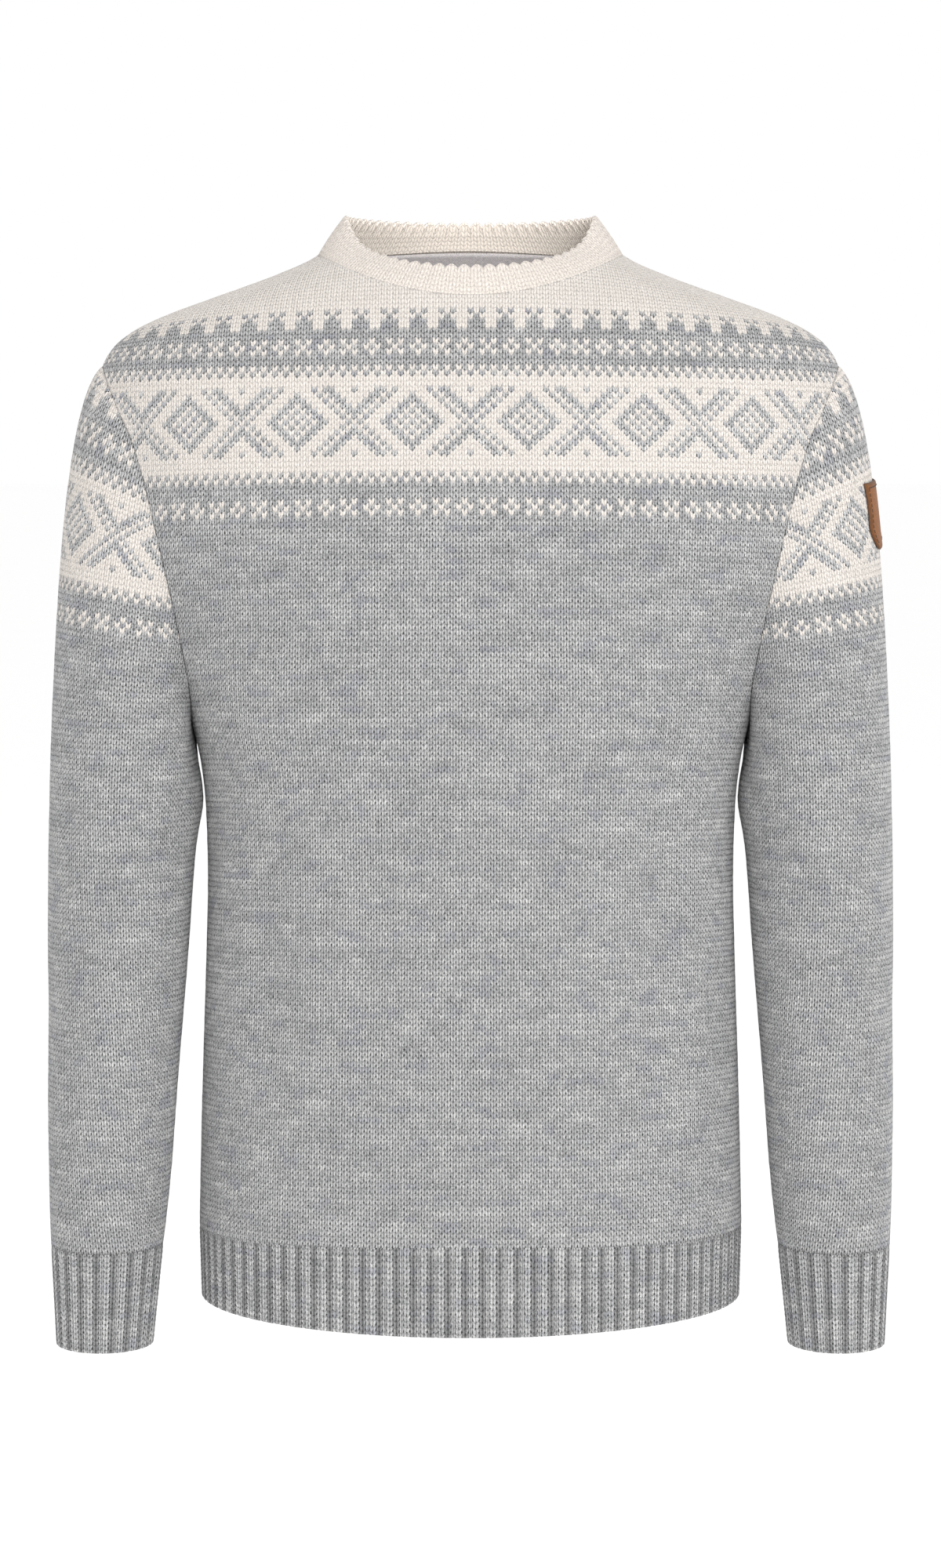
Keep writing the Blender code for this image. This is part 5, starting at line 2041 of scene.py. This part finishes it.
@dataclass
class Badge:
    """Shield-shaped leather patch on the outer side of the left sleeve."""

    form: SleeveForm
    name: str = "badge_patch"
    node: str = "sleeve_badge"
    columns: int = 40
    rows: int = 48
    rim_width: float = 3.6
    dome: float = 0.25
    dome_reach: float = 1.2
    edge_roll: float = 0.8
    edge_start: float = 0.72
    probe: float = math.radians(9.0)
    stitch_length: float = 2.3
    stitch_gap: float = 1.0
    thread_radius: float = 0.42
    thread_bevel: float = 0.2
    thread_rise: float = 0.15
    seam_inset_share: float = 0.9
    seam_point_share: float = 1.6
    seam_least_half: float = 0.4
    seam_steps: int = 80
    seam_top_steps: int = 24

    @staticmethod
    def half_width(part: Array) -> Array:
        """Half width as a share of the full half width, from top (0) to point (1)."""
        fall = np.clip((part - SHIELD_SHOULDER) / (1 - SHIELD_SHOULDER), 0, 1)
        lower = np.maximum(np.sqrt(1 - fall**SHIELD_ROUNDNESS), SHIELD_POINT)
        upper = 1 - SHIELD_WAIST * np.sin(np.clip(part / SHIELD_SHOULDER, 0, 1) * math.pi)
        return np.where(part < SHIELD_SHOULDER, upper, lower)

    def spot(self, across: float, part: float) -> tuple[Array, Array]:
        """Point of the sleeve under a place on the badge, and the way out from it."""
        height = BADGE_CENTRE_HEIGHT + BADGE_HEIGHT * (0.5 - part)
        middle = math.radians(BADGE_TURN)
        near, far = (self.form.surface(height, middle + turn)[0] for turn in (-self.probe, self.probe))
        step = 2 * self.probe / float(np.linalg.norm(far - near))
        return self.form.surface(height - across * BADGE_FALL, middle + across * step)

    def rim_share(self, across: Array, part: Array) -> Array:
        """1 on the badge's edge, falling to 0 by the rim's width inside it."""
        side = BADGE_WIDTH / 2 * self.half_width(part) - np.abs(across)
        ends = np.minimum(part, 1 - part) * BADGE_HEIGHT
        return np.clip(1 - np.minimum(side, ends) / self.rim_width, 0, 1)

    def build(self) -> Piece:
        """Make the patch, domed a little and rolled over at its rim."""
        part = np.linspace(0, 1, self.rows + 1)
        sideways = np.linspace(1, -1, self.columns + 1)
        across = sideways[None, :] * BADGE_WIDTH / 2 * self.half_width(part)[:, None]
        parts = np.broadcast_to(part[:, None], across.shape)
        spots = np.array([self.spot(x, y) for x, y in zip(across.ravel(), parts.ravel())])
        rim = self.rim_share(across, parts).ravel()
        lift = BADGE_CLEARANCE + BADGE_LEATHER
        lift = lift + self.dome * np.sin(math.pi * np.clip(rim * self.dome_reach, 0, 1))
        lift -= self.edge_roll * np.clip(rim - self.edge_start, 0, 1) / (1 - self.edge_start)
        stitch = np.stack((across / STITCH_WIDTH, -parts * BADGE_HEIGHT / ROW_HEIGHT), axis=-1)
        base = grid_surface(spots[:, 0].reshape(*across.shape, 3), stitch, closed=False)
        way = spots[:, 1]
        piece = Wall(base.moved(way, lift), base.moved(way, BADGE_CLEARANCE)).build(self.name)
        mark(piece, "rim", "POINT", np.tile(rim, 2))
        return piece

    def seam_path(self) -> list[tuple[float, float]]:
        """Places along the sewn line, just inside the rim."""
        inset = self.rim_width * self.seam_inset_share
        top = inset / BADGE_HEIGHT
        part = np.linspace(top, 1 - self.seam_point_share * top, self.seam_steps)
        half = np.maximum(BADGE_WIDTH / 2 * self.half_width(part) - inset, self.seam_least_half)
        right = list(zip(half, part))
        left = [(-x, y) for x, y in right[::-1]]
        across_top = [(x, top) for x in np.linspace(-half[0], half[0], self.seam_top_steps)[1:-1]]
        return right + left + across_top

    def thread(self) -> Piece:
        """One stitch of thread, lying along Z."""
        bpy.ops.object.select_all(action="DESELECT")
        bpy.ops.mesh.primitive_cylinder_add(
            vertices=8, radius=self.thread_radius * MM, depth=self.stitch_length * MM
        )
        bpy.ops.object.mode_set(mode="EDIT")
        bpy.ops.mesh.select_all(action="SELECT")
        bpy.ops.mesh.bevel(offset=self.thread_bevel * MM, segments=2)
        bpy.ops.object.mode_set(mode="OBJECT")
        return bpy.context.object

    def build_stitching(self) -> Piece:
        """Make the sewn line: one stitch modelled, then copied along its path."""
        model = self.thread()
        places = [self.spot(x, y) for x, y in self.seam_path()]
        places = np.array([*places, places[0]])
        rise = BADGE_CLEARANCE + BADGE_LEATHER + self.thread_rise
        line, ways = places[:, 0] + places[:, 1] * rise, places[:, 1]
        run = length_along(line)
        count = int(run[-1] // (self.stitch_length + self.stitch_gap))
        pitch = run[-1] / count
        copies = []
        for index in range(count):
            start, end = (self.along(run, line, index * pitch + reach) for reach in (0.0, self.stitch_length))
            out = self.along(run, ways, index * pitch).normalized()
            middle = (start + end) / 2 * MM
            ahead = (end - start).normalized()
            side = out.cross(ahead).normalized()
            copy = model.copy()
            copy.data = model.data.copy()
            bpy.context.scene.collection.objects.link(copy)
            for corner in copy.data.vertices:
                local = corner.co.copy()
                corner.co = middle + side * local.x + ahead.cross(side) * -local.y + ahead * local.z
            copies.append(copy)
        bpy.data.objects.remove(model, do_unlink=True)
        return joined(copies, "badge_stitching")

    @staticmethod
    def along(run: Array, line: Array, distance: float) -> Vector:
        """Point of a closed line at a distance along it."""
        return Vector([np.interp(distance % run[-1], run, axis) for axis in line.T])


def joined(copies: list[Piece], name: str) -> Piece:
    """One object made of several, at the origin."""
    bpy.ops.object.select_all(action="DESELECT")
    for copy in copies:
        copy.select_set(True)
    bpy.context.view_layer.objects.active = copies[0]
    bpy.ops.object.join()
    piece = bpy.context.object
    piece.name = piece.data.name = name
    turn_outwards(piece)
    bpy.ops.object.shade_smooth_by_angle(angle=SMOOTH_ANGLE)
    return piece


# ---- the sweater


class Sweater:
    """All the pieces of the sweater, built in order and set on the frame."""

    def __init__(self) -> None:
        """Work out the form and the finishes."""
        self.torso = Torso()
        self.armhole = Armhole(self.torso)
        self.neckline = Neckline(self.torso)
        self.sleeve_form = SleeveForm(self.armhole)
        self.shop = ShaderShop()
        self.yoke_knit = YarnFinish("yoke_knit", chart=True).material(self.shop)
        self.rib_knit = YarnFinish("rib_knit", ribbed=True, bump_depth=0.0008).material(self.shop)
        # The collar's cream tones are set a little darker than the yoke's, as painted shade against the
        # stronger light on its upright face, and its inner face gets strong painted light.
        self.cream_knit = YarnFinish(
            "cream_knit", cream=True, bump_depth=0.0005, cream_gap=0.16, inside_share=0.90,
            cream_light=(0.574, 0.529, 0.487), cream_dark=(0.530, 0.483, 0.437),
            inside_tint=(0.880, 0.790, 0.700),
        ).material(self.shop)

    def settle(self, piece: Piece, node: str, finish: Material) -> None:
        """Dress a piece, ride it on the body and let it stand for its node.

        Args:
            piece: The piece.
            node: Name of the node.
            finish: Its material.
        """
        dress(piece, finish)
        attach(piece, "root")
        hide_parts(node)
        triangles = sum(len(face.vertices) - 2 for face in piece.data.polygons)
        LOG.info("%s: %d triangles", piece.name, triangles)

    def build(self) -> None:
        """Build every piece."""
        for side in Side:
            self.build_panel(side)
            self.build_hem(side)
        knit = SleeveKnit(self.sleeve_form)
        for hand in Hand:
            self.build_sleeve(hand, knit)
            self.build_cuff(hand)
        self.build_neck()
        self.build_badge()

    def build_panel(self, side: Side) -> None:
        """Body panel with its half of the yoke."""
        knit = PanelKnit(self.torso, self.armhole, self.neckline, side)
        name, node = f"{side.key}_body_knit", f"{side.key}_panel"
        piece = KnitPiece(name, node, knit, column_limit=77.0, first_row=-153.0, last_row=52.0)
        made = piece.build()
        self.settle(made, piece.node, self.yoke_knit)

    def build_hem(self, side: Side) -> None:
        """Ribbed band under a panel."""

        def bow(share: Array) -> Array:
            """How far the edges bow, from the side seams (0) to the middle (1)."""
            return np.cos((share * 2 - 1) * math.pi / 2) ** 2

        def edge(height: Array, share: Array) -> Array:
            """Points at a height and shares of the way across."""
            half = self.torso.half_arc(side, height)
            return self.torso.point(side, height, (share * 2 - 1) * half)

        def seam(share: Array) -> Array:
            """Points of the upper edge."""
            return edge(HEM_SEAM_HEIGHT + HEM_SEAM_RISE * bow(share), share)

        def low(share: Array) -> Array:
            """Points of the lower edge."""
            return edge(HEM_HEIGHT - HEM_DIP * bow(share), share)

        def outward(share: Array) -> Array:
            """Level direction out of the lower edge."""
            along = low(np.clip(share + HEM_PROBE, 0, 1)) - low(np.clip(share - HEM_PROBE, 0, 1))
            return unit(np.stack((-along[:, 1], along[:, 0], np.zeros(len(along))), axis=-1) * side.value)

        piece = RibBand(
            name=f"{side.key}_hem_ribbing", node=f"{side.key}_hem_rib", ribs=HEM_RIBS, rows=15,
            seam_edge=seam, low_edge=low, outward=outward, closed=False,
            first_stitch=-float(HALF_STITCHES), top_row=-151.0,
        )
        made = piece.build()
        self.settle(made, piece.node, self.rib_knit)

    def build_sleeve(self, hand: Hand, knit: SleeveKnit) -> None:
        """Sleeve from the armhole to the cuff."""
        piece = KnitPiece(
            name=f"{hand.key}_sleeve_knit", node=f"{hand.key}_sleeve", knit=knit, column_limit=56.0,
            first_row=knit.first + 0.02, last_row=math.ceil(knit.last) + 2.0,
            flip=float(hand.value), welded=True, chart_shift=CHART_SHIFT[hand.key],
        )
        made = piece.build()
        self.settle(made, piece.node, self.yoke_knit)

    def build_cuff(self, hand: Hand) -> None:
        """Ribbed cuff."""
        form = self.sleeve_form

        def ring(height: float, share: Array) -> Array:
            """Points round the sleeve at a height."""
            return form.arm_point(np.full(share.shape, height), share * math.tau)

        def outward(share: Array) -> Array:
            """Level direction out of the cuff's end."""
            level = np.full(share.shape, CUFF_END_HEIGHT)
            centre = (form.arm.read("centre", level), form.arm.read("forward", level), level)
            return unit(ring(CUFF_END_HEIGHT, share) - np.stack(centre, axis=-1))

        piece = RibBand(
            name=f"{hand.key}_cuff_ribbing", node=f"{hand.key}_cuff", ribs=CUFF_RIBS, rows=19,
            seam_edge=lambda share: ring(CUFF_SEAM_HEIGHT, share),
            low_edge=lambda share: ring(CUFF_END_HEIGHT, share),
            outward=outward, closed=True, first_stitch=-30.0, top_row=-134.0, flip=float(hand.value),
        )
        made = piece.build()
        self.settle(made, piece.node, self.rib_knit)

    def build_neck(self) -> None:
        """Collar and the facing inside it."""
        collar = Collar(self.neckline)
        made = collar.build()
        self.settle(made, collar.node, self.cream_knit)
        facing = NeckFacing(self.torso, self.neckline)
        made = facing.build()
        self.settle(made, facing.node, FacingFinish().material(self.shop))

    def build_badge(self) -> None:
        """Leather badge and its sewn line."""
        badge = Badge(self.sleeve_form)
        patch = badge.build()
        self.settle(patch, badge.node, LeatherFinish().material(self.shop))
        line = badge.build_stitching()
        dress(line, ThreadFinish().material(self.shop))
        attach(line, "root")
        LOG.info("%s: built", line.name)


@dataclass(frozen=True)
class Lamp:
    """A soft studio light, by its place, its target, its size and its power."""

    name: str
    place: tuple
    target: tuple
    size: float
    power: float


@dataclass(frozen=True)
class Studio:
    """Pale floor, soft light and the camera."""

    camera_place: tuple = (0.0, -2.4, -0.1)
    camera_pitch: float = 5.36
    lens: float = 86.8
    floor_height: float = -1.0
    floor_size: float = 120.0
    world: float = 1.0
    lamps: tuple = (
        Lamp("front_light", (0.5, -3.0, 0.35), (0.0, 0.0, -0.2), 0.9, 40.0),
        Lamp("right_light", (2.1, -2.1, 1.1), (0.0, 0.0, -0.3), 1.0, 24.0),
        Lamp("left_light", (-1.4, -2.8, 0.3), (0.0, 0.0, -0.3), 1.2, 15.0),
        Lamp("top_light", (0.0, -1.1, 2.5), (0.0, 0.0, -0.1), 1.0, 12.0),
    )

    def build(self) -> None:
        """Set up the scene around the sweater."""
        scene = bpy.context.scene
        scene.view_settings.view_transform = "Standard"
        self.build_world(scene)
        self.build_floor()
        for lamp in self.lamps:
            self.build_lamp(lamp)
        lens = bpy.data.cameras.new("camera")
        lens.lens = self.lens
        lens.sensor_width = 36.0
        camera = bpy.data.objects.new("camera", lens)
        camera.location = self.camera_place
        camera.rotation_euler = (math.radians(90 - self.camera_pitch), 0.0, 0.0)
        scene.collection.objects.link(camera)
        scene.camera = camera

    def build_world(self, scene: bpy.types.Scene) -> None:
        """Even white surroundings."""
        world = bpy.data.worlds.new("studio")
        world.use_nodes = True
        shade = world.node_tree.nodes["Background"]
        shade.inputs["Color"].default_value = (1.0, 1.0, 1.0, 1.0)
        shade.inputs["Strength"].default_value = self.world
        scene.world = world

    def build_floor(self) -> None:
        """Pale floor."""
        bpy.ops.object.select_all(action="DESELECT")
        bpy.ops.mesh.primitive_plane_add(size=self.floor_size, location=(0.0, 0.0, self.floor_height))
        floor = bpy.context.object
        floor.name = "floor"
        bench = Bench("pale_floor")
        grain = noise(bench.tree, bench.place(), 3.0, 2.0)
        colour = blended(bench.tree, grain, (0.985, 0.985, 0.985), (0.995, 0.995, 0.995))
        floor.data.materials.append(bench.finish(colour, 0.9, 0.0))

    def build_lamp(self, lamp: Lamp) -> None:
        """One soft light, turned to its target."""
        light = bpy.data.lights.new(lamp.name, "AREA")
        light.shape = "DISK"
        light.size = lamp.size
        light.energy = lamp.power
        holder = bpy.data.objects.new(lamp.name, light)
        holder.location = lamp.place
        way = Vector(lamp.target) - Vector(lamp.place)
        holder.rotation_euler = way.to_track_quat("-Z", "Y").to_euler()
        bpy.context.scene.collection.objects.link(holder)


def main() -> None:
    """Build the sweater and its studio."""
    logging.basicConfig(level=logging.INFO, format="%(message)s")
    Sweater().build()
    Studio().build()


if __name__ == "__main__":
    main()
